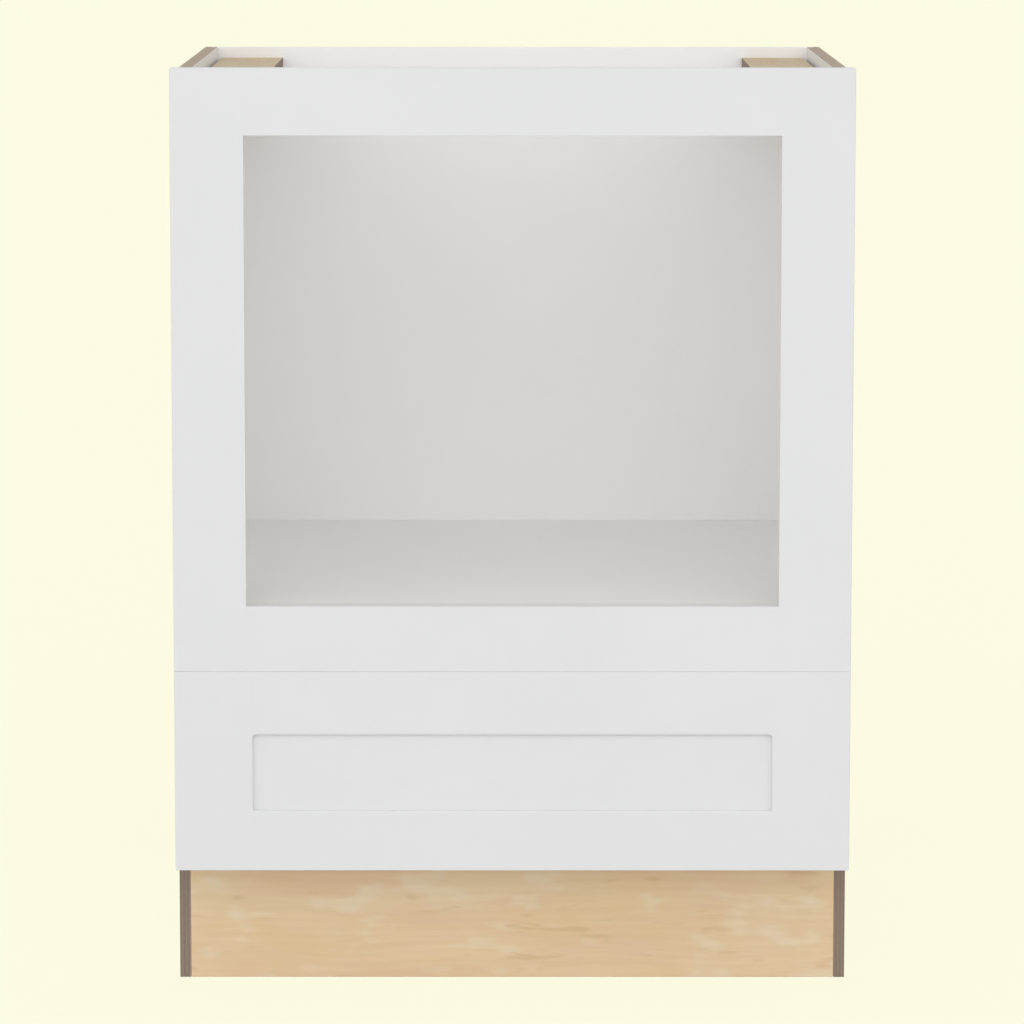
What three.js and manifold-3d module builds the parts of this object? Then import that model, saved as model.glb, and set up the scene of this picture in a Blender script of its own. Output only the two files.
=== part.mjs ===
// A base cabinet for a built-in microwave: an open compartment behind a flat front frame,
// over one drawer with a five-piece front, on a recessed toe board.
// Millimetres. +X is the viewer's right, +Y runs from the front to the back, +Z is up.
// The origin is on the floor, under the middle of the cabinet.
import * as THREE from "three";
import { mergeVertices } from "three/addons/utils/BufferGeometryUtils.js";
import Module from "manifold-3d";

const wasm = await Module();
wasm.setup();

// ---------------------------------------------------------------- driving dimensions

// The whole cabinet
const cabinetHeight = 876.3; // floor to the top of the front frame
const cabinetDepth = 609.6; // front faces to the back of the back panel
const boxWidth = 639; // across the outside faces of the side panels
const boxDrop = 7; // top of the box below the top of the front frame
const toeHeight = 120; // floor to the underside of the box
const toeSetback = 76.2; // front faces to the toe board

// The plywood box
const sideThickness = 12.7;
const bottomThickness = 12;
const shelfThickness = 18;
const backThickness = 9;
const toeBoardThickness = 12;
const baseRailThickness = 12;
const grooveDepth = 6; // how far the bottom, the shelf and the back run into the sides
const toeRabbetDepth = 2.3; // how far the toe board laps over the front edges of the sides

// The solid maple strips inside the box
const braceWidth = 68;
const braceThickness = 12;
const braceDrop = 11; // top of the braces below the top of the box
const braceStepWidth = 5; // a step along the outer upper edge of each brace
const braceStepDepth = 6;
const stretcherThickness = 12;
const stretcherStandback = 3; // underside of the stretcher above the top of the opening
const shelfRailThickness = 12;
const shelfRailHeight = 36;
const cleatSize = 18; // square strips in the front corners of the compartment

// The front frame and the drawer front
const frontThickness = 19;
const frontInset = 1.5; // each front stops short of the outside of the box at each side
const closingGap = 1; // drawer front to the front edges of the box
const frontGap = 0.8; // between the drawer front and the frame above it
const drawerFrontHeight = 190.1;
const frameStileWidth = 68;
const frameTopRailHeight = 62.5;
const frameBottomRailHeight = 61.5;
const drawerStileWidth = 73.5;
const drawerTopRailHeight = 60.8;
const drawerBottomRailHeight = 57.4;
const tenonThickness = 6.4;
const tenonLength = 12;
const tenonShoulder = 10; // rail above and below a frame tenon
const panelThickness = 6.4;
const panelRecess = 5; // face of the frame to the face of the drawer panel
const panelTongue = 9; // how far the panel runs into its frame

// The drawer box
const drawerSideThickness = 14;
const drawerEndThickness = 14;
const drawerBottomThickness = 6;
const drawerBottomHeight = 10; // lower edge of the drawer sides to the underside of the bottom
const drawerBottomTongue = 5;
const drawerLift = 16; // bottom panel of the cabinet to the lower edge of the drawer
const drawerTopClearance = 30; // top of the drawer to the rail under the shelf
const drawerRearClearance = 73.5; // back of the drawer to the back panel
const tailSpacing = 35; // about one dovetail in this height
const pinWidth = 8; // narrow end of a pin
const tailSlope = 1 / 7;

// The ball-bearing slides, measured across from the side panel to the drawer
const slideThickness = 12.7;
const slideHeight = 45.7;
const slideSetback = 3; // front edge of the box to the slides
const slideShortfall = 8; // slides shorter than the drawer box
const slideSteel = 1.2;
const slideLip = 2.2; // depth of the rolled edge of a channel, its own steel included
const ballDiameter = 3.4;
const ballsInRow = 5;
const cageSteel = 0.6;
const cageLength = 180;
const cageStart = 160; // front end of the slide to the front end of a cage
const ballEndMargin = 14; // end of a cage to its last ball

// Screws and bumpers
const screwShankRadius = 1.9;
const screwHeadRadius = 4;
const screwHeadHeight = 2;
const slideScrewHeadHeight = 0.8; // low heads that the sliding channel passes over
const frontScrewLength = 28;
const cleatScrewLength = 32;
const frameScrewLength = 26;
const slideScrewLength = 10;
const slideScrewFront = 17; // front end of a slide to its first screw
const slideScrewRear = 30; // rear end of a slide to its last screw
const drawerScrewFront = 40; // the same for the screws of the drawer's own channel
const frameScrewSpread = 300; // between the two screws of a frame rail
const cleatScrewMargin = 75; // end of a cleat to its screw
const frontScrewMargin = 30; // edge of the drawer end to a screw of the drawer front
const frontScrewInset = 17; // inside of the drawer side to a screw of the drawer front
const bumperRadius = 4;
const bumperStemRadius = 2.5;
const bumperStemLength = 6;
const bumperDrop = 14; // top of the drawer front to a bumper

// Clearances
const glueGap = 0.2; // between two pieces that are glued or screwed together
const runGap = 0.3; // between pieces that slide past each other
const holeGap = 0.3; // round a screw or a bumper stem
const cutOvershoot = 5; // how far a cut runs out past the piece

const roundSides = 12;

// ---------------------------------------------------------------- planes worked out from them

const frontFace = -cabinetDepth / 2;
const frontBack = frontFace + frontThickness;
const boxFront = frontBack + closingGap;
const boxBack = cabinetDepth / 2;
const backInside = boxBack - backThickness;
const seatFront = frontBack + glueGap; // what the fixed frame is screwed to stands here
const toeFace = frontFace + toeSetback;

const boxHalf = boxWidth / 2;
const innerHalf = boxHalf - sideThickness;
const frontHalf = boxHalf - frontInset;
const boxTop = cabinetHeight - boxDrop;

const bottomTop = toeHeight + bottomThickness;
const drawerFrontTop = toeHeight + drawerFrontHeight;
const frameBottom = drawerFrontTop + frontGap;
const openingBottom = frameBottom + frameBottomRailHeight;
const openingTop = cabinetHeight - frameTopRailHeight;
const shelfTop = openingBottom; // the shelf is level with the lower rail of the frame
const shelfUnder = shelfTop - shelfThickness;
const shelfRailUnder = shelfUnder - glueGap - shelfRailHeight;
const stretcherUnder = openingTop + stretcherStandback;

const drawerHalf = innerHalf - slideThickness - 2 * glueGap;
const drawerUnder = bottomTop + drawerLift;
const drawerTop = shelfRailUnder - drawerTopClearance;
const drawerFrontEnd = frontBack + glueGap;
const drawerRearEnd = backInside - drawerRearClearance;
const slideLength = drawerRearEnd - drawerFrontEnd - slideShortfall;
const slideFront = boxFront + slideSetback;
const slideCentre = (drawerUnder + drawerTop) / 2;

// ---------------------------------------------------------------- materials

const finish = (color, roughness, metalness = 0) =>
  new THREE.MeshStandardMaterial({ color, roughness, metalness });

const whitePaint = finish(0xe4e4e4, 0.45);
const whiteLaminate = finish(0xdedcda, 0.5);
const maple = finish(0xd7bc96, 0.6);
const zincSteel = finish(0xb9bcc0, 0.35, 0.9);
const screwSteel = finish(0xc4bda6, 0.4, 0.85);
const clearRubber = finish(0xc9cbc8, 0.5);

// ---------------------------------------------------------------- solids

/** The closed solid that a geometry bounds. */
function solidFrom(geometry) {
  const bare = geometry.clone();
  bare.deleteAttribute("normal");
  bare.deleteAttribute("uv");
  const merged = mergeVertices(bare, 1e-4);
  return new wasm.Manifold(
    new wasm.Mesh({
      numProp: 3,
      vertProperties: merged.attributes.position.array,
      triVerts: new Uint32Array(merged.index.array),
    }),
  );
}

/** The geometry of a solid, flat shaded. */
function geometryFrom(solid) {
  const mesh = solid.getMesh();
  const indexed = new THREE.BufferGeometry()
    .setAttribute("position", new THREE.BufferAttribute(mesh.vertProperties, 3))
    .setIndex(new THREE.BufferAttribute(mesh.triVerts, 1));
  const geometry = indexed.toNonIndexed();
  geometry.computeVertexNormals();
  return geometry;
}

/** One geometry with others joined to it and cut from it. */
function shaped(geometry, { joins = [], cuts = [] }) {
  let solid = solidFrom(geometry);
  for (const join of joins) solid = solid.add(solidFrom(join));
  for (const cut of cuts) solid = solid.subtract(solidFrom(cut));
  return geometryFrom(solid);
}

/** A named mesh of a geometry, added to its parent. */
function addMesh(parent, name, material, geometry) {
  const mesh = new THREE.Mesh(geometry, material);
  mesh.name = name;
  parent.add(mesh);
  return mesh;
}

const middle = ([low, high]) => (low + high) / 2;
const between = (a, b) => [Math.min(a, b), Math.max(a, b)];

/** A block from its spans along X, Y and Z, in the cabinet's own frame. */
function block({ x, y, z }) {
  const geometry = new THREE.BoxGeometry(x[1] - x[0], y[1] - y[0], z[1] - z[0]);
  return geometry.translate(middle(x), middle(y), middle(z));
}

/** The same spans with a clearance added all round. */
function grown({ x, y, z }, gap) {
  return {
    x: [x[0] - gap, x[1] + gap],
    y: [y[0] - gap, y[1] + gap],
    z: [z[0] - gap, z[1] + gap],
  };
}

/**
 * A board from its spans, with tongues or tenons joined and grooves or holes cut.
 * Joins and cuts are given in the cabinet's frame; the mesh is placed by its centre.
 */
function addBoard(parent, name, material, spans, { joins = [], cuts = [] } = {}) {
  const centre = new THREE.Vector3(middle(spans.x), middle(spans.y), middle(spans.z));
  const toLocal = (geometry) => geometry.clone().translate(-centre.x, -centre.y, -centre.z);
  const geometry = shaped(toLocal(block(spans)), {
    joins: joins.map(toLocal),
    cuts: cuts.map(toLocal),
  });
  const board = addMesh(parent, name, material, geometry);
  board.position.copy(centre);
  return board;
}

/** The name of a piece of which there is one at each side. */
const sided = (name, side) => `${name}_${side < 0 ? "left" : "right"}`;

/** A span measured inwards from the middle plane, turned to the side that is asked for. */
const across = (side, inner, outer) => between(side * inner, side * outer);

// ---------------------------------------------------------------- screws

const alongShank = new THREE.Vector3(0, -1, 0);

/** Turns a shape that points down its own -Y axis towards a direction. */
const turnTo = (direction) =>
  new THREE.Quaternion().setFromUnitVectors(alongShank, direction);

/** Where a screw goes: the point under its head, its direction and its sizes. */
function screwAt(x, y, z, direction, length, headHeight = screwHeadHeight) {
  return { seat: new THREE.Vector3(x, y, z), direction, length, headHeight };
}

/** The hole that a screw runs in, from a little outside its seat to past its point. */
function screwHole({ seat, direction, length }) {
  const radius = screwShankRadius + holeGap;
  const outside = glueGap * 2;
  const inside = length + holeGap;
  const hole = new THREE.CylinderGeometry(radius, radius, outside + inside, roundSides);
  hole.translate(0, (outside - inside) / 2, 0);
  hole.applyQuaternion(turnTo(direction));
  return hole.translate(seat.x, seat.y, seat.z);
}

/** A pan-head screw: a domed head over a plain shank with a short point. */
function addScrew(parent, name, { seat, direction, length, headHeight }) {
  const head = headHeight + glueGap;
  const outline = [
    [0, -length],
    [screwShankRadius * 0.25, -length],
    [screwShankRadius, -length + 2 * screwShankRadius],
    [screwShankRadius, glueGap],
    [screwHeadRadius, glueGap],
    [screwHeadRadius, glueGap + headHeight * 0.5],
    [screwHeadRadius * 0.7, head],
    [0, head],
  ];
  const profile = outline.map(([radius, y]) => new THREE.Vector2(radius, y));
  const geometry = new THREE.LatheGeometry(profile, roundSides);
  const screw = addMesh(parent, name, screwSteel, shaped(geometry, {}));
  screw.position.copy(seat);
  screw.quaternion.copy(turnTo(direction));
  return screw;
}

const forwards = new THREE.Vector3(0, -1, 0);
const outwards = (side) => new THREE.Vector3(side, 0, 0);
const inwards = (side) => new THREE.Vector3(-side, 0, 0);

// Screws that hold the fixed frame: through the stretcher, the shelf rail and the cleats.
const stretcherMiddle = (stretcherUnder + boxTop) / 2;
const shelfRailMiddle = shelfUnder - glueGap - shelfRailHeight / 2;
const cleatMiddle = innerHalf - glueGap - cleatSize / 2;
const cleatUnder = shelfTop + glueGap;
const cleatTop = stretcherUnder - glueGap;

const topRailScrew = (side) =>
  screwAt(
    (side * frameScrewSpread) / 2,
    seatFront + stretcherThickness,
    stretcherMiddle,
    forwards,
    frameScrewLength,
  );
const bottomRailScrew = (side) =>
  screwAt(
    (side * frameScrewSpread) / 2,
    seatFront + shelfRailThickness,
    shelfRailMiddle,
    forwards,
    frameScrewLength,
  );
const stileScrew = (side, upper) =>
  screwAt(
    side * cleatMiddle,
    seatFront + cleatSize,
    upper ? cleatTop - cleatScrewMargin : cleatUnder + cleatScrewMargin,
    forwards,
    cleatScrewLength,
  );

// Screws that hold the drawer front, through the front end of the drawer box.
const frontScrew = (side, upper) =>
  screwAt(
    side * (drawerHalf - drawerSideThickness - frontScrewInset),
    drawerFrontEnd + drawerEndThickness,
    upper ? drawerTop - frontScrewMargin : drawerUnder + frontScrewMargin,
    forwards,
    frontScrewLength,
  );

// Screws that hold the slides: the cabinet channels to the sides, the drawer channels to the drawer.
const slideScrewY = (rear, frontMargin) =>
  rear ? slideFront + slideLength - slideScrewRear : slideFront + frontMargin;
const cabinetSlideScrew = (side, rear) =>
  screwAt(
    side * (innerHalf - glueGap - slideSteel),
    slideScrewY(rear, slideScrewFront),
    slideCentre,
    outwards(side),
    slideScrewLength,
    slideScrewHeadHeight,
  );
const drawerSlideScrew = (side, rear) =>
  screwAt(
    side * (drawerHalf + glueGap + slideSteel),
    slideScrewY(rear, drawerScrewFront),
    slideCentre,
    inwards(side),
    slideScrewLength,
  );

const bothSides = [-1, 1];
const bothEnds = [false, true];

// ---------------------------------------------------------------- the plywood box

const toeBoardSpans = {
  x: [-innerHalf - toeRabbetDepth + glueGap, innerHalf + toeRabbetDepth - glueGap],
  y: [toeFace, toeFace + toeBoardThickness],
  z: [0, toeHeight - glueGap],
};
const bottomSpans = {
  x: [-innerHalf - grooveDepth + glueGap, innerHalf + grooveDepth - glueGap],
  y: [boxFront, backInside - glueGap],
  z: [toeHeight, bottomTop],
};
const shelfSpans = {
  x: bottomSpans.x,
  y: [boxFront, backInside - glueGap],
  z: [shelfUnder, shelfTop],
};
const backSpans = {
  x: bottomSpans.x,
  y: [backInside, boxBack],
  z: [toeHeight, boxTop],
};

/** One side panel, with its toe notch and the grooves for the pieces that it carries. */
function addSidePanel(parent, side) {
  const name = side < 0 ? "left_side_panel" : "right_side_panel";
  const spans = {
    x: across(side, innerHalf, boxHalf),
    y: [boxFront, boxBack],
    z: [0, boxTop],
  };
  const toeNotch = block({
    x: across(side, innerHalf - cutOvershoot, boxHalf + cutOvershoot),
    y: [boxFront - cutOvershoot, toeFace],
    z: [-cutOvershoot, toeHeight],
  });
  const grooveX = across(side, innerHalf - cutOvershoot, innerHalf + grooveDepth);
  const toeRabbet = block({
    x: across(side, innerHalf - cutOvershoot, innerHalf + toeRabbetDepth),
    y: [toeFace - cutOvershoot, toeFace + toeBoardThickness + glueGap],
    z: [-cutOvershoot, toeHeight + glueGap],
  });
  const bottomGroove = block({
    x: grooveX,
    y: [boxFront - cutOvershoot, boxBack + cutOvershoot],
    z: [toeHeight - glueGap, bottomTop + glueGap],
  });
  const shelfGroove = block({
    x: grooveX,
    y: [boxFront - cutOvershoot, boxBack + cutOvershoot],
    z: [shelfUnder - glueGap, shelfTop + glueGap],
  });
  const backRabbet = block({
    x: grooveX,
    y: [backInside - glueGap, boxBack + cutOvershoot],
    z: [toeHeight - glueGap, boxTop + cutOvershoot],
  });
  const screwHoles = bothEnds.map((rear) => screwHole(cabinetSlideScrew(side, rear)));
  const cuts = [toeNotch, toeRabbet, bottomGroove, shelfGroove, backRabbet, ...screwHoles];
  return addBoard(parent, name, whiteLaminate, spans, { cuts });
}

/** The plywood box: sides, bottom, microwave shelf, back and the two boards of the base. */
function makeBox() {
  const box = new THREE.Group();
  for (const side of bothSides) addSidePanel(box, side);
  addBoard(box, "bottom_panel", whiteLaminate, bottomSpans);
  // In front of the box edges the shelf is narrower, and runs on to meet the fixed frame.
  const shelfNose = block({
    x: [-innerHalf + glueGap, innerHalf - glueGap],
    y: [seatFront, boxFront + cutOvershoot],
    z: shelfSpans.z,
  });
  addBoard(box, "microwave_shelf", whiteLaminate, shelfSpans, { joins: [shelfNose] });
  addBoard(box, "back_panel", whiteLaminate, backSpans);
  addBoard(box, "toe_kick_board", maple, toeBoardSpans);
  addBoard(box, "rear_base_rail", maple, {
    x: [-innerHalf + glueGap, innerHalf - glueGap],
    y: [boxBack - baseRailThickness, boxBack],
    z: [0, toeHeight - glueGap],
  });
  return box;
}

/** The maple strips inside the box, which stiffen it and carry the fixed frame and the worktop. */
function makeInnerStrips() {
  const strips = new THREE.Group();
  const betweenSides = [-innerHalf + glueGap, innerHalf - glueGap];
  addBoard(
    strips,
    "front_stretcher",
    maple,
    {
      x: betweenSides,
      y: [seatFront, seatFront + stretcherThickness],
      z: [stretcherUnder, boxTop],
    },
    { cuts: bothSides.map((side) => screwHole(topRailScrew(side))) },
  );
  addBoard(
    strips,
    "shelf_front_rail",
    maple,
    {
      x: betweenSides,
      y: [seatFront, seatFront + shelfRailThickness],
      z: [shelfRailUnder, shelfRailUnder + shelfRailHeight],
    },
    { cuts: bothSides.map((side) => screwHole(bottomRailScrew(side))) },
  );
  const braceTop = boxTop - braceDrop;
  const braceY = [seatFront + stretcherThickness + glueGap, backInside - glueGap];
  for (const side of bothSides) {
    const step = block({
      x: across(side, innerHalf - braceStepWidth, innerHalf + cutOvershoot),
      y: [braceY[0] - cutOvershoot, braceY[1] + cutOvershoot],
      z: [braceTop - braceStepDepth, braceTop + cutOvershoot],
    });
    addBoard(
      strips,
      sided("top_brace", side),
      maple,
      {
        x: across(side, innerHalf - braceWidth, innerHalf - glueGap),
        y: braceY,
        z: [braceTop - braceThickness, braceTop],
      },
      { cuts: [step] },
    );
    addBoard(
      strips,
      sided("frame_cleat", side),
      maple,
      {
        x: across(side, innerHalf - glueGap - cleatSize, innerHalf - glueGap),
        y: [seatFront, seatFront + cleatSize],
        z: [cleatUnder, cleatTop],
      },
      { cuts: bothEnds.map((upper) => screwHole(stileScrew(side, upper))) },
    );
  }
  return strips;
}

// ---------------------------------------------------------------- the fixed front frame

/** A rail's stub tenon at one side, in the middle of the frame's thickness. */
function tenonSpans(side, stileInside, length, bottom, top) {
  const centre = frontFace + frontThickness / 2;
  return {
    x: across(side, stileInside - cutOvershoot, stileInside + length),
    y: [centre - tenonThickness / 2, centre + tenonThickness / 2],
    z: [bottom, top],
  };
}

/** The frame round the microwave opening: two stiles, and two rails with stub tenons. */
function makeFrontFrame() {
  const frame = new THREE.Group();
  const stileInside = frontHalf - frameStileWidth;
  const depth = [frontFace, frontBack];
  const rails = {
    frame_top_rail: { z: [openingTop, cabinetHeight], screw: topRailScrew },
    frame_bottom_rail: { z: [frameBottom, openingBottom], screw: bottomRailScrew },
  };
  const tenon = (side, [bottom, top]) =>
    tenonSpans(side, stileInside, tenonLength, bottom + tenonShoulder, top - tenonShoulder);
  for (const [name, { z, screw }] of Object.entries(rails)) {
    const spans = { x: [-stileInside + glueGap, stileInside - glueGap], y: depth, z };
    addBoard(frame, name, whitePaint, spans, {
      joins: bothSides.map((side) => block(tenon(side, z))),
      cuts: bothSides.map((side) => screwHole(screw(side))),
    });
  }
  for (const side of bothSides) {
    const mortises = Object.values(rails).map(({ z }) => block(grown(tenon(side, z), glueGap)));
    const holes = bothEnds.map((upper) => screwHole(stileScrew(side, upper)));
    const spans = {
      x: across(side, stileInside, frontHalf),
      y: depth,
      z: [frameBottom, cabinetHeight],
    };
    addBoard(frame, sided("frame_stile", side), whitePaint, spans, {
      cuts: [...mortises, ...holes],
    });
  }
  return frame;
}

// ---------------------------------------------------------------- the drawer front

const drawerFrontInside = frontHalf - drawerStileWidth;
const drawerPanelBottom = toeHeight + drawerBottomRailHeight;
const drawerPanelTop = drawerFrontTop - drawerTopRailHeight;
const drawerPanelSpans = {
  x: [-drawerFrontInside - panelTongue, drawerFrontInside + panelTongue],
  y: [frontFace + panelRecess, frontFace + panelRecess + panelThickness],
  z: [drawerPanelBottom - panelTongue, drawerPanelTop + panelTongue],
};
const bumperX = innerHalf + sideThickness / 2 - frontInset / 2;
const bumperZ = drawerFrontTop - bumperDrop;

/** The blind hole in the back of the drawer front that a bumper's stem sits in. */
function bumperHole(side) {
  const radius = bumperStemRadius + holeGap;
  const length = bumperStemLength + holeGap + cutOvershoot;
  const hole = new THREE.CylinderGeometry(radius, radius, length, roundSides);
  return hole.translate(
    side * bumperX,
    frontBack + cutOvershoot - length / 2,
    bumperZ,
  );
}

/** A push-in bumper: a stem in the drawer front and a head that meets the side panel. */
function addBumper(parent, side) {
  const headThickness = closingGap - 2 * glueGap;
  const outline = [
    [0, -bumperStemLength - glueGap],
    [bumperStemRadius, -bumperStemLength - glueGap],
    [bumperStemRadius, 0],
    [bumperRadius, 0],
    [bumperRadius, headThickness * 0.6],
    [bumperRadius * 0.85, headThickness],
    [0, headThickness],
  ];
  const profile = outline.map(([radius, y]) => new THREE.Vector2(radius, y));
  const geometry = shaped(new THREE.LatheGeometry(profile, roundSides), {});
  const bumper = addMesh(parent, sided("drawer_bumper", side), clearRubber, geometry);
  bumper.position.set(side * bumperX, frontBack + glueGap, bumperZ);
}

/** The drawer front: stiles and rails round a flat panel that is let into them. */
function makeDrawerFront() {
  const front = new THREE.Group();
  const depth = [frontFace, frontBack];
  const panelGroove = block(grown(drawerPanelSpans, glueGap));
  const panelY = drawerPanelSpans.y;
  addBoard(front, "drawer_front_panel", whitePaint, drawerPanelSpans);

  const rails = {
    drawer_front_bottom_rail: {
      z: [toeHeight, drawerPanelBottom],
      tenonZ: [toeHeight + tenonShoulder, drawerPanelSpans.z[0] - 2 * glueGap],
    },
    drawer_front_top_rail: {
      z: [drawerPanelTop, drawerFrontTop],
      tenonZ: [drawerPanelSpans.z[1] + 2 * glueGap, drawerFrontTop - tenonShoulder],
    },
  };
  const tenon = (side, tenonZ) => ({
    x: across(side, drawerFrontInside - cutOvershoot, drawerFrontInside + tenonLength),
    y: panelY,
    z: tenonZ,
  });
  for (const [name, { z, tenonZ }] of Object.entries(rails)) {
    const spans = { x: [-drawerFrontInside + glueGap, drawerFrontInside - glueGap], y: depth, z };
    addBoard(front, name, whitePaint, spans, {
      joins: bothSides.map((side) => block(tenon(side, tenonZ))),
      cuts: [panelGroove],
    });
  }
  for (const side of bothSides) {
    const mortises = Object.values(rails).map(({ tenonZ }) =>
      block(grown(tenon(side, tenonZ), glueGap)),
    );
    const screwHoles = bothEnds.map((upper) => screwHole(frontScrew(side, upper)));
    const spans = {
      x: across(side, drawerFrontInside, frontHalf),
      y: depth,
      z: [toeHeight, drawerFrontTop],
    };
    addBoard(front, sided("drawer_front_stile", side), whitePaint, spans, {
      cuts: [panelGroove, ...mortises, ...screwHoles, bumperHole(side)],
    });
    addBumper(front, side);
  }
  return front;
}

// ---------------------------------------------------------------- the dovetailed drawer box

const tailCount = Math.max(2, Math.round((drawerTop - drawerUnder) / tailSpacing));
const tailPitch = (drawerTop - drawerUnder) / tailCount;
const insideSides = drawerHalf - drawerSideThickness;

/**
 * A wedge across one drawer side, for a corner joint. It is narrow at the end of the side
 * and gets wider by the slope of the tails towards the inside of the drawer, or the reverse.
 */
function wedge(side, endY, inward, centreZ, halfAtEnd, halfInside) {
  const length = drawerEndThickness;
  const outline = new THREE.Shape([
    new THREE.Vector2(0, centreZ - halfAtEnd),
    new THREE.Vector2(length, centreZ - halfInside),
    new THREE.Vector2(length, centreZ + halfInside),
    new THREE.Vector2(0, centreZ + halfAtEnd),
  ]);
  const depth = drawerSideThickness + cutOvershoot + glueGap;
  const geometry = new THREE.ExtrudeGeometry(outline, { depth, bevelEnabled: false });
  // The outline's own axes become Y and Z, and its thickness runs along X.
  const sense = new THREE.Matrix4().makeBasis(
    new THREE.Vector3(0, inward, 0),
    new THREE.Vector3(0, 0, 1),
    new THREE.Vector3(inward, 0, 0),
  );
  geometry.applyMatrix4(sense);
  const [low, high] = across(side, insideSides - glueGap, drawerHalf + cutOvershoot);
  return geometry.translate(inward > 0 ? low : high, endY, 0);
}

/** The spaces between the tails at one end of a drawer side, where the pins go. */
function pinSpaces(side, endY, inward) {
  const spaces = [];
  for (let i = 0; i <= tailCount; i++) {
    const centreZ = drawerUnder + i * tailPitch;
    const atEnd = pinWidth / 2;
    const inside = atEnd + drawerEndThickness * tailSlope;
    spaces.push(wedge(side, endY, inward, centreZ, atEnd, inside));
  }
  return spaces;
}

/** The sockets in a drawer end that take the tails of one side. */
function tailSockets(side, endY, inward) {
  const sockets = [];
  for (let i = 0; i < tailCount; i++) {
    const centreZ = drawerUnder + (i + 0.5) * tailPitch;
    const atEnd = tailPitch / 2 - pinWidth / 2 + glueGap;
    const inside = atEnd - drawerEndThickness * tailSlope;
    sockets.push(wedge(side, endY, inward, centreZ, atEnd, inside));
  }
  return sockets;
}

/** The open box of the drawer, dovetailed at its four corners, with its bottom in a groove. */
function makeDrawerBox() {
  const drawer = new THREE.Group();
  const upright = [drawerUnder, drawerTop];
  const bottomSpansOfDrawer = {
    x: [-insideSides - drawerBottomTongue, insideSides + drawerBottomTongue],
    y: [
      drawerFrontEnd + drawerEndThickness - drawerBottomTongue,
      drawerRearEnd - drawerEndThickness + drawerBottomTongue,
    ],
    z: [
      drawerUnder + drawerBottomHeight,
      drawerUnder + drawerBottomHeight + drawerBottomThickness,
    ],
  };
  const bottomGroove = block(grown(bottomSpansOfDrawer, glueGap));
  addBoard(drawer, "drawer_bottom", maple, bottomSpansOfDrawer);

  const ends = {
    drawer_box_front: { endY: drawerFrontEnd, inward: 1, screws: true },
    drawer_box_back: { endY: drawerRearEnd, inward: -1, screws: false },
  };
  for (const [name, { endY, inward, screws }] of Object.entries(ends)) {
    const spans = {
      x: [-drawerHalf, drawerHalf],
      y: between(endY, endY + inward * (drawerEndThickness - glueGap)),
      z: upright,
    };
    const sockets = bothSides.flatMap((side) => tailSockets(side, endY, inward));
    const places = screws ? bothSides.flatMap((s) => bothEnds.map((u) => frontScrew(s, u))) : [];
    addBoard(drawer, name, maple, spans, {
      cuts: [bottomGroove, ...sockets, ...places.map(screwHole)],
    });
  }
  for (const side of bothSides) {
    const spans = {
      x: across(side, insideSides, drawerHalf),
      y: [drawerFrontEnd, drawerRearEnd],
      z: upright,
    };
    const spaces = Object.values(ends).flatMap(({ endY, inward }) =>
      pinSpaces(side, endY, inward),
    );
    const screwHoles = bothEnds.map((rear) => screwHole(drawerSlideScrew(side, rear)));
    addBoard(drawer, sided("drawer_side", side), maple, spans, {
      cuts: [bottomGroove, ...spaces, ...screwHoles],
    });
  }
  return drawer;
}

// ---------------------------------------------------------------- the slides

// Heights of the three nested channels, each smaller than the last by its steel and a row of balls.
const ballSpace = ballDiameter + 2 * runGap;
const outerHalf = slideHeight / 2;
const middleHalf = outerHalf - slideSteel - ballSpace;
const innerChannelHalf = middleHalf - slideSteel - ballSpace;
const outerBallHeight = outerHalf - slideSteel - ballSpace / 2;
const innerBallHeight = middleHalf - slideSteel - ballSpace / 2;

// Distances from the side panel: the webs and the cages between them, then the channels' edges.
const cageSpace = cageSteel + 2 * runGap;
const middleWeb = slideSteel + cageSpace;
const drawerChannelEdge = middleWeb + slideSteel + cageSpace;
const outerEdge = slideThickness - slideSteel - runGap;
const middleEdge = outerEdge - slideSteel + runGap;
const ballFromLip = ballDiameter / 2 + runGap;

/**
 * A channel's section: a web at one edge, two flanges, and lips rolled inwards at their ends.
 * Its first axis runs from the side panel towards the drawer and its second axis is height.
 */
function channelSection(webEdge, openEdge, half, lip) {
  const turn = Math.sign(openEdge - webEdge);
  const steel = slideSteel * turn;
  const upper = [
    [webEdge + steel, half - slideSteel],
    [openEdge - steel, half - slideSteel],
    [openEdge - steel, half - lip],
    [openEdge, half - lip],
    [openEdge, half],
    [webEdge, half],
  ];
  const lower = upper.map(([x, z]) => [x, -z]).reverse();
  return new THREE.Shape([...upper, ...lower].map(([x, z]) => new THREE.Vector2(x, z)));
}

/** A section run along the slide from start to end, with +Y along the slide and +Z up. */
function alongSlide(section, start, end) {
  const geometry = new THREE.ExtrudeGeometry(section, { depth: end - start, bevelEnabled: false });
  return geometry.rotateX(Math.PI / 2).translate(0, end, 0);
}

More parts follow.
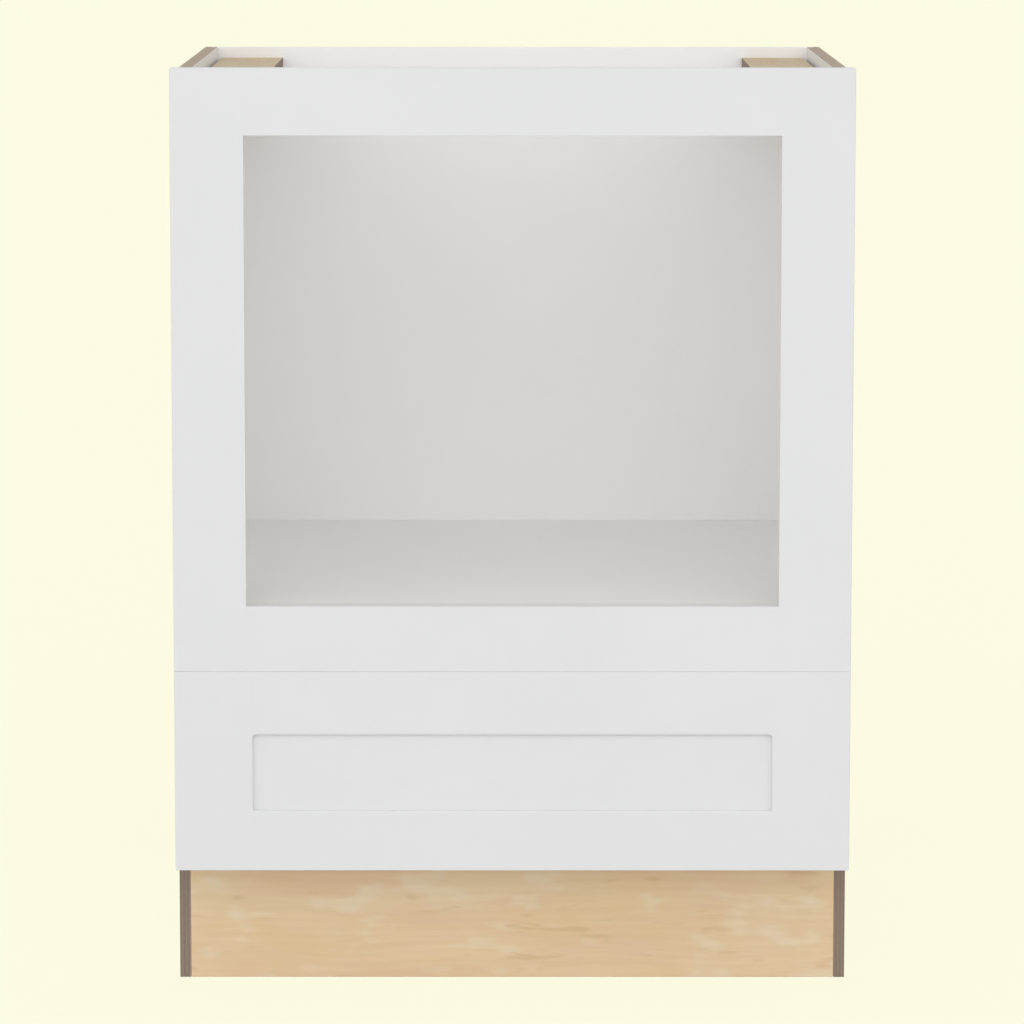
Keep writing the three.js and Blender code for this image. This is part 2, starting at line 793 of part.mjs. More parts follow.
/** A ball cage: a thin folded strip with a row of balls held in each of its edges. */
function cageGeometry(web, ballHeight, ballCentre) {
  const reach = ballCentre + ballDiameter * 0.4;
  const half = ballHeight + cageSteel / 2;
  const section = new THREE.Shape(
    [
      [web, -half],
      [reach, -half],
      [reach, -half + cageSteel],
      [web + cageSteel, -half + cageSteel],
      [web + cageSteel, half - cageSteel],
      [reach, half - cageSteel],
      [reach, half],
      [web, half],
    ].map(([x, z]) => new THREE.Vector2(x, z)),
  );
  const balls = [];
  const step = (cageLength - 2 * ballEndMargin) / (ballsInRow - 1);
  for (let i = 0; i < ballsInRow; i++) {
    for (const side of bothSides) {
      const ball = new THREE.OctahedronGeometry(ballDiameter / 2, 1);
      ball.translate(ballCentre, cageStart + ballEndMargin + i * step, side * ballHeight);
      balls.push(ball);
    }
  }
  return shaped(alongSlide(section, cageStart, cageStart + cageLength), { joins: balls });
}

/** The holes for a channel's two screws, in the slide's own frame. */
function channelHoles(centre, frontMargin) {
  const radius = screwShankRadius + holeGap;
  return [frontMargin, slideLength - slideScrewRear].map((y) => {
    const hole = new THREE.CylinderGeometry(radius, radius, slideSteel * 3, roundSides);
    return hole.rotateZ(Math.PI / 2).translate(centre, y, 0);
  });
}

/** The slide at one side: three channels, and two ball cages between them. */
function makeSlide(side) {
  const slide = new THREE.Group();
  // The slide's own +X runs from the side panel to the drawer at either side.
  slide.position.set(side * (innerHalf - glueGap), slideFront, slideCentre);
  slide.rotation.y = side > 0 ? Math.PI : 0;
  const drawerWeb = slideThickness;
  const cabinetChannel = alongSlide(
    channelSection(0, outerEdge, outerHalf, slideLip),
    0,
    slideLength,
  );
  const middleChannel = alongSlide(
    channelSection(middleWeb, middleEdge, middleHalf, slideLip),
    0,
    slideLength,
  );
  const drawerChannel = alongSlide(
    channelSection(drawerWeb, drawerChannelEdge, innerChannelHalf, slideSteel * 1.5),
    0,
    slideLength,
  );
  addMesh(
    slide,
    sided("slide_cabinet_channel", side),
    zincSteel,
    shaped(cabinetChannel, { cuts: channelHoles(slideSteel / 2, slideScrewFront) }),
  );
  addMesh(slide, sided("slide_middle_channel", side), zincSteel, middleChannel);
  addMesh(
    slide,
    sided("slide_drawer_channel", side),
    zincSteel,
    shaped(drawerChannel, { cuts: channelHoles(drawerWeb - slideSteel / 2, drawerScrewFront) }),
  );
  addMesh(
    slide,
    sided("slide_outer_cage", side),
    zincSteel,
    cageGeometry(slideSteel + runGap, outerBallHeight, outerEdge - slideSteel - ballFromLip),
  );
  addMesh(
    slide,
    sided("slide_inner_cage", side),
    zincSteel,
    cageGeometry(
      middleWeb + slideSteel + runGap,
      innerBallHeight,
      middleEdge - slideSteel - ballFromLip,
    ),
  );
  return slide;
}

// ---------------------------------------------------------------- the screws

/** Every screw, named by what it holds and where it is. */
function makeScrews() {
  const screws = new THREE.Group();
  const level = (upper) => (upper ? "upper" : "lower");
  const place = (rear) => (rear ? "rear" : "front");
  for (const side of bothSides) {
    addScrew(screws, sided("top_rail_screw", side), topRailScrew(side));
    addScrew(screws, sided("bottom_rail_screw", side), bottomRailScrew(side));
    for (const end of bothEnds) {
      addScrew(screws, sided(`stile_screw_${level(end)}`, side), stileScrew(side, end));
      addScrew(screws, sided(`drawer_front_screw_${level(end)}`, side), frontScrew(side, end));
      addScrew(
        screws,
        sided(`cabinet_slide_screw_${place(end)}`, side),
        cabinetSlideScrew(side, end),
      );
      addScrew(
        screws,
        sided(`drawer_slide_screw_${place(end)}`, side),
        drawerSlideScrew(side, end),
      );
    }
  }
  return screws;
}

// ---------------------------------------------------------------- the cabinet

const cabinet = new THREE.Group();
cabinet.name = "microwave_base_cabinet";
cabinet.add(makeBox());
cabinet.add(makeInnerStrips());
cabinet.add(makeFrontFrame());
cabinet.add(makeDrawerFront());
cabinet.add(makeDrawerBox());
for (const side of bothSides) cabinet.add(makeSlide(side));
cabinet.add(makeScrews());

export default cabinet;
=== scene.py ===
"""Looks of a base cabinet for a built-in microwave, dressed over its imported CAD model.

Every board, channel and screw is a surface worked out in millimetres in the cabinet's own
frame (+X the viewer's right, +Y from front to back, +Z up) and put into a mesh in metres.
"""

import logging
import math
from collections.abc import Callable, Sequence
from dataclasses import dataclass, field
from enum import Enum
from functools import cached_property, partial

import bmesh
import bpy
import numpy as np
from bpy.types import Material, Mesh, Node, NodeSocket, NodeTree, Object
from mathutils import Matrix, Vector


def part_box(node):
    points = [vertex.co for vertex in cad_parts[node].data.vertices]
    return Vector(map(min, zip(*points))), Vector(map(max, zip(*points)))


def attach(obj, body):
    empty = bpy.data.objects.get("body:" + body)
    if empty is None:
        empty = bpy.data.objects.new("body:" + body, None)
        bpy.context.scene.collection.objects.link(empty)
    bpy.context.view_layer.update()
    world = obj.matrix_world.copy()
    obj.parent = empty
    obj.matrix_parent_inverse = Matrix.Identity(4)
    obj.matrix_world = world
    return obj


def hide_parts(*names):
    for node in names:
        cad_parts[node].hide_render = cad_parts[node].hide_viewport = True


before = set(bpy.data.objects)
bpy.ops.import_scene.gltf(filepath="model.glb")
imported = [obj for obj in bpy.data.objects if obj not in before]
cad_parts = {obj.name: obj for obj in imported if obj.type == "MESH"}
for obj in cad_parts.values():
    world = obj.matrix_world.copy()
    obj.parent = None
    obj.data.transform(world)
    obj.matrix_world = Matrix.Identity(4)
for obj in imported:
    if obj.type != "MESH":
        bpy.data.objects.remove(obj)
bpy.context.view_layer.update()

LOG = logging.getLogger("microwave_base_cabinet")
MM = 0.001
SIDES = {"left": -1, "right": 1}
BAND_REACH = 2.0  # a banded front edge lies this near to the panel's front, in millimetres
WIDEST_ROUNDING = 2.0  # the radius that a bevel weight of 1 stands for
SHORT_EDGE = 3.0  # edges of jointed boards that are no longer than this stay sharp
FACING = 0.7  # a normal points along an axis where its part along it is more than this
FULL_TURN = 2 * math.pi
BEND_STEPS = 7  # points on each bend of a sheet-metal strip
PAINT_BUILD = 0.34  # the painted fronts come this much nearer to each other than the solids
MEETING_EDGE = 0.25  # radius of the edges with which they face each other

Three = tuple[float, float, float]
Four = tuple[float, float, float, float]
Colour = Three  # red, green and blue in linear light


class Axis(Enum):
    """The direction that a board, its grain or a channel runs in."""

    X = 0
    Y = 1
    Z = 2

    @property
    def across(self) -> tuple[int, int]:
        """The other two axes, in the order that gives this one as their cross product."""
        return (self.value + 1) % 3, (self.value + 2) % 3


class Body(Enum):
    """The CAD body that a piece moves with."""

    CABINET = "cabinet"
    DRAWER = "drawer"


class Slot(Enum):
    """The record's material slots, each with how its pieces are worked."""

    PAINT = "white_paint", "painted"
    LAMINATE = "white_laminate", "laminated"
    MAPLE = "maple", "planed"
    SLIDE = "slide_steel", "rolled"
    SCREW = "screw_steel", "threaded"
    RUBBER = "clear_rubber", "moulded"

    def __init__(self, label: str, work: str) -> None:
        """Keeps the slot's name, and the word that ends the names of its pieces."""
        self.label, self.work = label, work


def linear(*display: float) -> Colour:
    """A colour given in display values, turned into linear light.

    Args:
        *display: Its red, green and blue, from 0 to 255.

    Returns:
        The same colour as linear values from 0 to 1.
    """
    share = np.array(display) / 255
    bright = ((share + 0.055) / 1.055) ** 2.4
    return tuple(float(x) for x in np.where(share <= 0.04045, share / 12.92, bright))


def span(node: str) -> tuple[np.ndarray, np.ndarray]:
    """The lowest and highest corner of a CAD node, in millimetres."""
    low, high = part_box(node)
    return np.array(low) / MM, np.array(high) / MM


# --- surfaces


@dataclass
class Surface:
    """A closed surface: its points in millimetres, and faces that point outwards."""

    points: np.ndarray
    quads: np.ndarray
    caps: list[np.ndarray] = field(default_factory=list)

    def moved(self, place: Callable[[np.ndarray], np.ndarray]) -> "Surface":
        """The same faces on points that a rule has moved; the rule keeps the handedness."""
        return Surface(place(self.points), self.quads, self.caps)

    @staticmethod
    def joined(surfaces: Sequence["Surface"]) -> "Surface":
        """Several surfaces as one.

        Args:
            surfaces: The surfaces, each closed on its own.

        Returns:
            One surface with all their points, quads and caps.
        """
        starts = np.cumsum([0] + [len(s.points) for s in surfaces])
        return Surface(
            np.concatenate([s.points for s in surfaces]),
            np.concatenate([s.quads + start for s, start in zip(surfaces, starts)]),
            [cap + start for s, start in zip(surfaces, starts) for cap in s.caps],
        )

    def to_mesh(self, name: str) -> Mesh:
        """Puts the surface into a new mesh, in metres.

        Args:
            name: The mesh's name.

        Returns:
            The mesh.
        """
        mesh = bpy.data.meshes.new(name)
        faces = self.quads.tolist() + [cap.tolist() for cap in self.caps]
        mesh.from_pydata((self.points * MM).tolist(), [], faces)
        mesh.update()
        return mesh


def carried(rows: np.ndarray, capped: bool = True) -> Surface:
    """A closed profile carried along a path.

    Row i of the grid is the profile at station i, anticlockwise seen from the path's far end.
    Each pair of neighbouring rows gives a band of quads, and the end rows are closed by caps.

    Args:
        rows: Points of shape (stations, profile points, 3).
        capped: Whether both ends get one flat face.

    Returns:
        The surface.
    """
    stations, around = rows.shape[:2]
    grid = np.arange(stations * around).reshape(stations, around)
    here, beside = grid[:-1], np.roll(grid, -1, axis=1)[:-1]
    above, above_beside = grid[1:], np.roll(grid, -1, axis=1)[1:]
    quads = np.stack([here, beside, above_beside, above], axis=-1).reshape(-1, 4)
    caps = [grid[0, ::-1], grid[-1]] if capped else []
    return Surface(rows.reshape(-1, 3), quads, caps)


@dataclass(frozen=True)
class Easing:
    """Radii of a board's rounded edges, in millimetres.

    With the board's own axis towards the viewer, its first cross axis to the right and its
    second one up, the corners go lower left, lower right, upper right, upper left, and the
    sides go lower, right, upper, left.
    """

    edges: Four  # the four long edges, by corner
    near: Four  # the edges round the near end, by side
    far: Four  # the edges round the far end, by side

    @staticmethod
    def even(radius: float) -> "Easing":
        """The same radius on all twelve edges."""
        return Easing((radius,) * 4, (radius,) * 4, (radius,) * 4)


@dataclass(frozen=True)
class Station:
    """A place along a board where its section changes."""

    at: float
    edges: Four
    trims: Four = (0.0, 0.0, 0.0, 0.0)  # taken off each side, in the order of the sides


def end_insets(radii: Four, heights: np.ndarray) -> np.ndarray:
    """How far each side is drawn in near a rounded end.

    At height h above the end, a side with radius r is drawn in by
    r minus the root of r squared less the square of (r - h), and not at all above r.

    Args:
        radii: The radius of each side's end edge.
        heights: Distances from the end.

    Returns:
        Insets of shape (heights, sides).
    """
    radius = np.array(radii)[None, :]
    short = np.clip(radius - heights[:, None], 0, None)
    return radius - np.sqrt(radius**2 - short**2)


def eased_board(
    low: np.ndarray,
    high: np.ndarray,
    axis: Axis,
    easing: Easing,
    stations: Sequence[Station] = (),
    arc: int = 4,
) -> Surface:
    """A board with every edge rounded.

    Its section is a rectangle whose corners are quarter circles: corner k is its circle's
    centre plus r times (cos t, sin t). The section is carried along the board, and at the
    ends its sides are drawn in along quarter circles as well.

    Args:
        low: The board's lowest corner.
        high: The board's highest corner.
        axis: The direction that the section is carried in.
        easing: The radii of the edges.
        stations: Places in between where the section changes, in order.
        arc: Faces in each quarter circle.

    Returns:
        The surface.
    """
    first, second = axis.across
    steps = np.linspace(0, math.pi / 2, arc + 1)
    lift = max(easing.near) * (1 - np.cos(steps))
    sink = max(easing.far) * (1 - np.cos(steps[::-1]))
    middle = np.array([s.at for s in stations])
    at = np.concatenate([low[axis.value] + lift, middle, high[axis.value] - sink])

    start = stations[0] if stations else Station(0, easing.edges)
    stop = stations[-1] if stations else start
    order = [start] * len(lift) + list(stations) + [stop] * len(sink)
    radii = np.array([s.edges for s in order])
    trims = np.array([s.trims for s in order])
    none = np.zeros((len(middle), 4))
    insets = trims + np.concatenate(
        [end_insets(easing.near, lift), none, end_insets(easing.far, sink)]
    )

    # Columns: corners lower left, lower right, upper right, upper left.
    left, right = low[first] + insets[:, 3], high[first] - insets[:, 1]
    lower, upper = low[second] + insets[:, 0], high[second] - insets[:, 2]
    centre_first = np.stack([left, right, right, left], 1) + radii * [1, -1, -1, 1]
    centre_second = np.stack([lower, lower, upper, upper], 1) + radii * [1, 1, -1, -1]
    turn = math.pi + np.arange(4)[:, None] * math.pi / 2 + steps[None, :]
    rows = np.zeros((len(at), 4 * (arc + 1), 3))
    rows[..., axis.value] = at[:, None]
    swing = radii[:, :, None]
    rows[..., first] = (centre_first[:, :, None] + swing * np.cos(turn)).reshape(len(at), -1)
    rows[..., second] = (centre_second[:, :, None] + swing * np.sin(turn)).reshape(len(at), -1)
    return carried(rows)


def turned(profile: np.ndarray, around: int) -> Surface:
    """A profile of (radius, height) points turned round the Z axis.

    The point at angle t is (radius cos t, radius sin t, height). The profile runs upwards,
    and its first and last ring are closed by caps.

    Args:
        profile: Points of shape (n, 2).
        around: Faces in the full turn.

    Returns:
        The surface.
    """
    angle = np.linspace(0, FULL_TURN, around, endpoint=False)
    radius, height = profile[:, :1], profile[:, 1:]
    upright = np.repeat(height, around, 1)
    return carried(np.stack([radius * np.cos(angle), radius * np.sin(angle), upright], -1))


def bent_strip(corners: np.ndarray, bend: float, thickness: float) -> np.ndarray:
    """The outline of a sheet-metal strip that follows a line of corners.

    Each inner corner is an arc of its bend radius, which touches the two straight runs. The
    outline is that middle line moved half a thickness to either side along its normals.

    Args:
        corners: Corner points of the strip's middle line, of shape (n, 2).
        bend: The bend radius at each inner corner.
        thickness: The sheet's thickness.

    Returns:
        The outline, of shape (2 m, 2): one side forwards, and the other side back.
    """
    runs = np.diff(corners, axis=0)
    runs /= np.linalg.norm(runs, axis=1)[:, None]
    normals = np.stack([-runs[:, 1], runs[:, 0]], 1)
    line, across = [corners[:1]], [normals[:1]]
    for corner, before, after in zip(corners[1:-1], normals[:-1], normals[1:]):
        turn = math.atan2(before[0] * after[1] - before[1] * after[0], before @ after)
        side = math.copysign(1.0, turn)
        reach = bend * math.tan(abs(turn) / 2)
        heading = np.array([before[1], -before[0]])
        centre = corner - heading * reach + before * bend * side
        angles = np.linspace(0, turn, BEND_STEPS)
        rotation = np.stack([np.cos(angles), np.sin(angles)], 1)
        normal = rotation[:, :1] * before + rotation[:, 1:] * np.array([-before[1], before[0]])
        line.append(centre - normal * bend * side)
        across.append(normal)
    line, across = np.concatenate([*line, corners[-1:]]), np.concatenate([*across, normals[-1:]])
    return np.concatenate([line + across * thickness / 2, (line - across * thickness / 2)[::-1]])


def extruded_strip(outline: np.ndarray, start: float, stop: float) -> Surface:
    """A bent strip's outline carried along Y, from start to stop.

    The outline's axes are X and Z. Its two sides have the same number of points, so each end
    is closed by quads from one side to the other.

    Args:
        outline: Points as bent_strip gives them.
        start: First Y.
        stop: Last Y.

    Returns:
        The surface.
    """
    x, z = outline.T
    area = np.sum(x * np.roll(z, -1) - z * np.roll(x, -1))
    if area > 0:
        outline = outline[::-1]
    rows = np.zeros((2, len(outline), 3))
    rows[..., [0, 2]] = outline
    rows[0, :, 1], rows[1, :, 1] = start, stop
    strip = carried(rows, capped=False)
    count = len(outline)
    one = np.arange(count // 2 - 1)
    other = count - 1 - one
    near = np.stack([one, other, other - 1, one + 1], 1)
    return Surface(strip.points, np.concatenate([strip.quads, near, near[:, ::-1] + count]))


def ball(centre: np.ndarray, radius: float) -> Surface:
    """A bearing ball: the circle (r cos t, r sin t) turned round, with small flat poles.

    Args:
        centre: Its centre.
        radius: Its radius.

    Returns:
        The surface.
    """
    pole, rings, around = 0.12, 10, 16
    angle = np.linspace(pole - math.pi / 2, math.pi / 2 - pole, rings)
    shape = turned(np.stack([radius * np.cos(angle), radius * np.sin(angle)], 1), around)
    return shape.moved(lambda points: points + centre)


# --- pieces


def add_piece(
    node: str,
    mesh: Mesh,
    finishes: Sequence[Material],
    body: Body | str,
    slot: Slot,
) -> Object:
    """Makes the visible piece that stands for a CAD node.

    Args:
        node: The CAD node.
        mesh: The piece's mesh, in metres in the cabinet's frame.
        finishes: Its materials, in the order of the faces' finish numbers.
        body: The CAD body that it moves with.
        slot: The record's material slot, whose word ends the piece's name.

    Returns:
        The object.
    """
    piece = bpy.data.objects.new(f"{node}_{slot.work}", mesh)
    bpy.context.scene.collection.objects.link(piece)
    for finish in finishes:
        mesh.materials.append(finish)
    carrier = body.value if isinstance(body, Body) else body
    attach(piece, carrier)
    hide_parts(node)
    LOG.info("%s: %d faces, rides on %s", piece.name, len(mesh.polygons), carrier)
    return piece


def plain_board(node: str, axis: Axis, radius: float) -> Mesh:
    """A CAD node's box as a board with all its edges rounded alike."""
    return eased_board(*span(node), axis, Easing.even(radius)).to_mesh(node)


def per_face(mesh: Mesh, what: str) -> np.ndarray:
    """The normal or the center of each face of a mesh.

    Args:
        mesh: The mesh.
        what: Which of the two.

    Returns:
        Numbers of shape (faces, 3), in metres for the centers.
    """
    values = np.zeros(len(mesh.polygons) * 3)
    mesh.polygons.foreach_get(what, values)
    return values.reshape(-1, 3)


def set_finishes(mesh: Mesh, numbers: np.ndarray) -> None:
    """Gives each face of a mesh its finish number."""
    mesh.polygons.foreach_set("material_index", numbers.astype(np.int32))


def round_shading(mesh: Mesh, sharp_degrees: float) -> None:
    """Shades a mesh smoothly, apart from edges sharper than an angle."""
    mesh.shade_smooth()
    mesh.set_sharp_from_angle(angle=math.radians(sharp_degrees))


def panel_finishes(
    mesh: Mesh, through: Axis, banded_front: bool = False, banded_top: bool = False
) -> None:
    """Numbers the faces of a plywood panel: 0 face, 1 raw edge, 2 raw upper edge (painted lighter
    for the light from above).

    Args:
        mesh: The panel's mesh.
        through: The direction of the panel's thickness.
        banded_front: Whether the front edge is covered with a band like the face.
        banded_top: Whether the upper edge is.
    """
    normals = per_face(mesh, "normal")
    raw = np.abs(normals[:, through.value]) < FACING
    numbers = np.where(raw & (normals[:, 2] > FACING), 2, raw)
    if banded_front:
        depths = per_face(mesh, "center")[:, 1]
        front = depths < depths.min() + BAND_REACH * MM
        numbers[front & (normals[:, 1] < -FACING)] = 0
    if banded_top:
        numbers[normals[:, 2] > FACING] = 0
    set_finishes(mesh, numbers)


def with_holes(surface: Surface, cutters: Sequence[Surface], name: str) -> Mesh:
    """A surface with other closed surfaces cut out of it.

    Args:
        surface: The surface that is cut.
        cutters: What is cut out.
        name: The new mesh's name.

    Returns:
        The cut mesh.
    """
    blank = bpy.data.objects.new("blank", surface.to_mesh(name + "_blank"))
    punch = bpy.data.objects.new("punch", Surface.joined(cutters).to_mesh(name + "_punch"))
    for made in (blank, punch):
        bpy.context.scene.collection.objects.link(made)
    cut = blank.modifiers.new("holes", "BOOLEAN")
    cut.operation, cut.solver, cut.object = "DIFFERENCE", "EXACT", punch
    bpy.context.view_layer.update()
    evaluated = blank.evaluated_get(bpy.context.evaluated_depsgraph_get())
    mesh = bpy.data.meshes.new_from_object(evaluated)
    mesh.name = name
    for made in (blank, punch):
        used = made.data
        bpy.data.objects.remove(made)
        bpy.data.meshes.remove(used)
    return mesh


def jointed_board(node: str, roundings: Callable[[np.ndarray, np.ndarray], float]) -> Mesh:
    """A merged copy of a CAD board, with the radius that each of its edges is to be rounded by.

    Corners that coincide to the micrometre are merged, and triangles in one plane are joined.
    The radius goes into the edge's bevel weight as a share of WIDEST_ROUNDING.

    Args:
        node: The CAD node that is copied.
        roundings: Gives an edge's radius from its middle and the direction of its run.

    Returns:
        The mesh.
    """
    flat, blunt = math.radians(0.5), 0.2  # angles below which faces are joined, or stay sharp
    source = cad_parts[node].data
    points = np.zeros(len(source.vertices) * 3)
    source.vertices.foreach_get("co", points)
    corners = np.zeros(len(source.loops), np.int32)
    source.loops.foreach_get("vertex_index", corners)
    places, order = np.unique(points.reshape(-1, 3).round(6), axis=0, return_inverse=True)
    mesh = bpy.data.meshes.new(node + "_merged")
    mesh.from_pydata(places.tolist(), [], order.reshape(-1)[corners].reshape(-1, 3).tolist())
    shape = bmesh.new()
    shape.from_mesh(mesh)
    bmesh.ops.dissolve_limit(shape, angle_limit=flat, verts=shape.verts, edges=shape.edges)
    weights = shape.edges.layers.float.new("bevel_weight_edge")
    for edge in shape.edges:
        ends = np.array([v.co for v in edge.verts]) / MM
        run = ends[1] - ends[0]
        length = float(np.linalg.norm(run))
        if length > SHORT_EDGE and edge.is_manifold and edge.calc_face_angle() > blunt:
            edge[weights] = roundings(ends.mean(0), run / length) / WIDEST_ROUNDING
    shape.to_mesh(mesh)
    shape.free()
    return mesh


def round_edges(piece: Object) -> None:
    """Rounds the edges of a jointed board by their weights.

    Args:
        piece: The board.
    """
    bevel = piece.modifiers.new("eased_edges", "BEVEL")
    bevel.limit_method = "WEIGHT"
    bevel.width = WIDEST_ROUNDING * MM
    bevel.segments = 3
    bevel.use_clamp_overlap = False
    bevel.harden_normals = False


# --- shader nodes

Value = float | Sequence[float] | NodeSocket
Look = tuple[dict[str, Value], NodeSocket]


class NodeSheet:
    """Adds nodes to one shader tree, with their settings, values and links."""

    def __init__(self, tree: NodeTree) -> None:
        """Starts on an empty tree."""
        self.tree = tree
        self.tree.nodes.clear()

    def add(
        self, kind: str, values: dict[str | int, Value] | None = None, **settings: object
    ) -> Node:
        """Adds a node.

        Args:
            kind: The node's type, without its ShaderNode prefix.
            values: What goes into its inputs: a plain value, or a socket to link.
            **settings: The node's own settings.

        Returns:
            The node.
        """
        prefix = "" if kind.startswith("NodeGroup") else "ShaderNode"
        node = self.tree.nodes.new(prefix + kind)
        for name, setting in settings.items():
            setattr(node, name, setting)
        for name, value in (values or {}).items():
            if isinstance(value, NodeSocket):
                self.tree.links.new(value, node.inputs[name])
            else:
                node.inputs[name].default_value = value
        row, column = divmod(len(self.tree.nodes), 8)
        node.location = (220 * column, -260 * row)
        return node

    def math(self, operation: str, *values: Value) -> NodeSocket:
        """One arithmetic step on numbers; gives its result."""
        return self.add("Math", dict(enumerate(values)), operation=operation).outputs[0]

    def vector(self, operation: str, *values: Value) -> NodeSocket:
        """One arithmetic step on vectors; gives its result."""
        node = self.add("VectorMath", dict(enumerate(values)), operation=operation)
        return node.outputs["Value" if operation in ("DOT_PRODUCT", "LENGTH") else "Vector"]

    def noise(
        self, place: Value, stretch: float | Three, detail: float, roughness: float = 0.5
    ) -> Node:
        """Noise on a stretched copy of a place.

        Args:
            place: The place, in metres.
            stretch: Patches per metre along each axis, or along all of them.
            detail: Number of finer layers.
            roughness: Share that each finer layer keeps.

        Returns:
            The noise node.
        """
        each = stretch if isinstance(stretch, tuple) else (stretch,) * 3
        scaled = self.vector("MULTIPLY", place, each)
        values = {"Vector": scaled, "Scale": 1.0, "Detail": detail, "Roughness": roughness}
        return self.add("TexNoise", values)

    def patches(self, step: Sequence[float], *noise: Value) -> NodeSocket:
        """Noise put through a smooth step from its low to its high level."""
        return self.levels(self.noise(*noise).outputs["Fac"], *step)

    def levels(
        self, value: Value, low: float, high: float, dark: float = 0.0, light: float = 1.0
    ) -> NodeSocket:
        """A smooth step of a value.

        Args:
            value: The value.
            low: Where the step starts.
            high: Where the step ends.
            dark: The result below the step.
            light: The result above the step.

        Returns:
            The stepped value.
        """
        ends = {"From Min": low, "From Max": high, "To Min": dark, "To Max": light}
        node = self.add("MapRange", {"Value": value, **ends}, interpolation_type="SMOOTHSTEP")
        return node.outputs["Result"]

    def tint(self, share: Value, under: Value, over: Value, blend: str = "MIX") -> NodeSocket:
        """One colour laid over another.

        Args:
            share: How much of the second colour shows.
            under: The first colour.
            over: The second colour.
            blend: How they mix.

        Returns:
            The mixed colour.
        """
        colours = [x if isinstance(x, NodeSocket) else (*x, 1.0) for x in (under, over)]
        values = {0: share, 6: colours[0], 7: colours[1]}
        return self.add("Mix", values, data_type="RGBA", blend_type=blend).outputs[2]

    def layered(self, colour: Value, *layers: tuple[NodeSocket, float, Colour]) -> NodeSocket:
        """Colours laid over a first one in turn.

        Args:
            colour: The first colour.
            *layers: The mask, the share and the colour of each layer, from the bottom up.

        Returns:
            The mixed colour.
        """
        for mask, share, over in layers:
            colour = self.tint(self.math("MULTIPLY", mask, share), colour, over)
        return colour

    def group(self, tree: NodeTree, place: NodeSocket, **values: Value) -> dict[str, NodeSocket]:
        """Places a shared effect, with its inputs in lower case; gives its results by name."""
        named = {name.replace("_", " ").title(): value for name, value in values.items()}
        return self.add("Group", {"Place": place, **named}, node_tree=tree).outputs


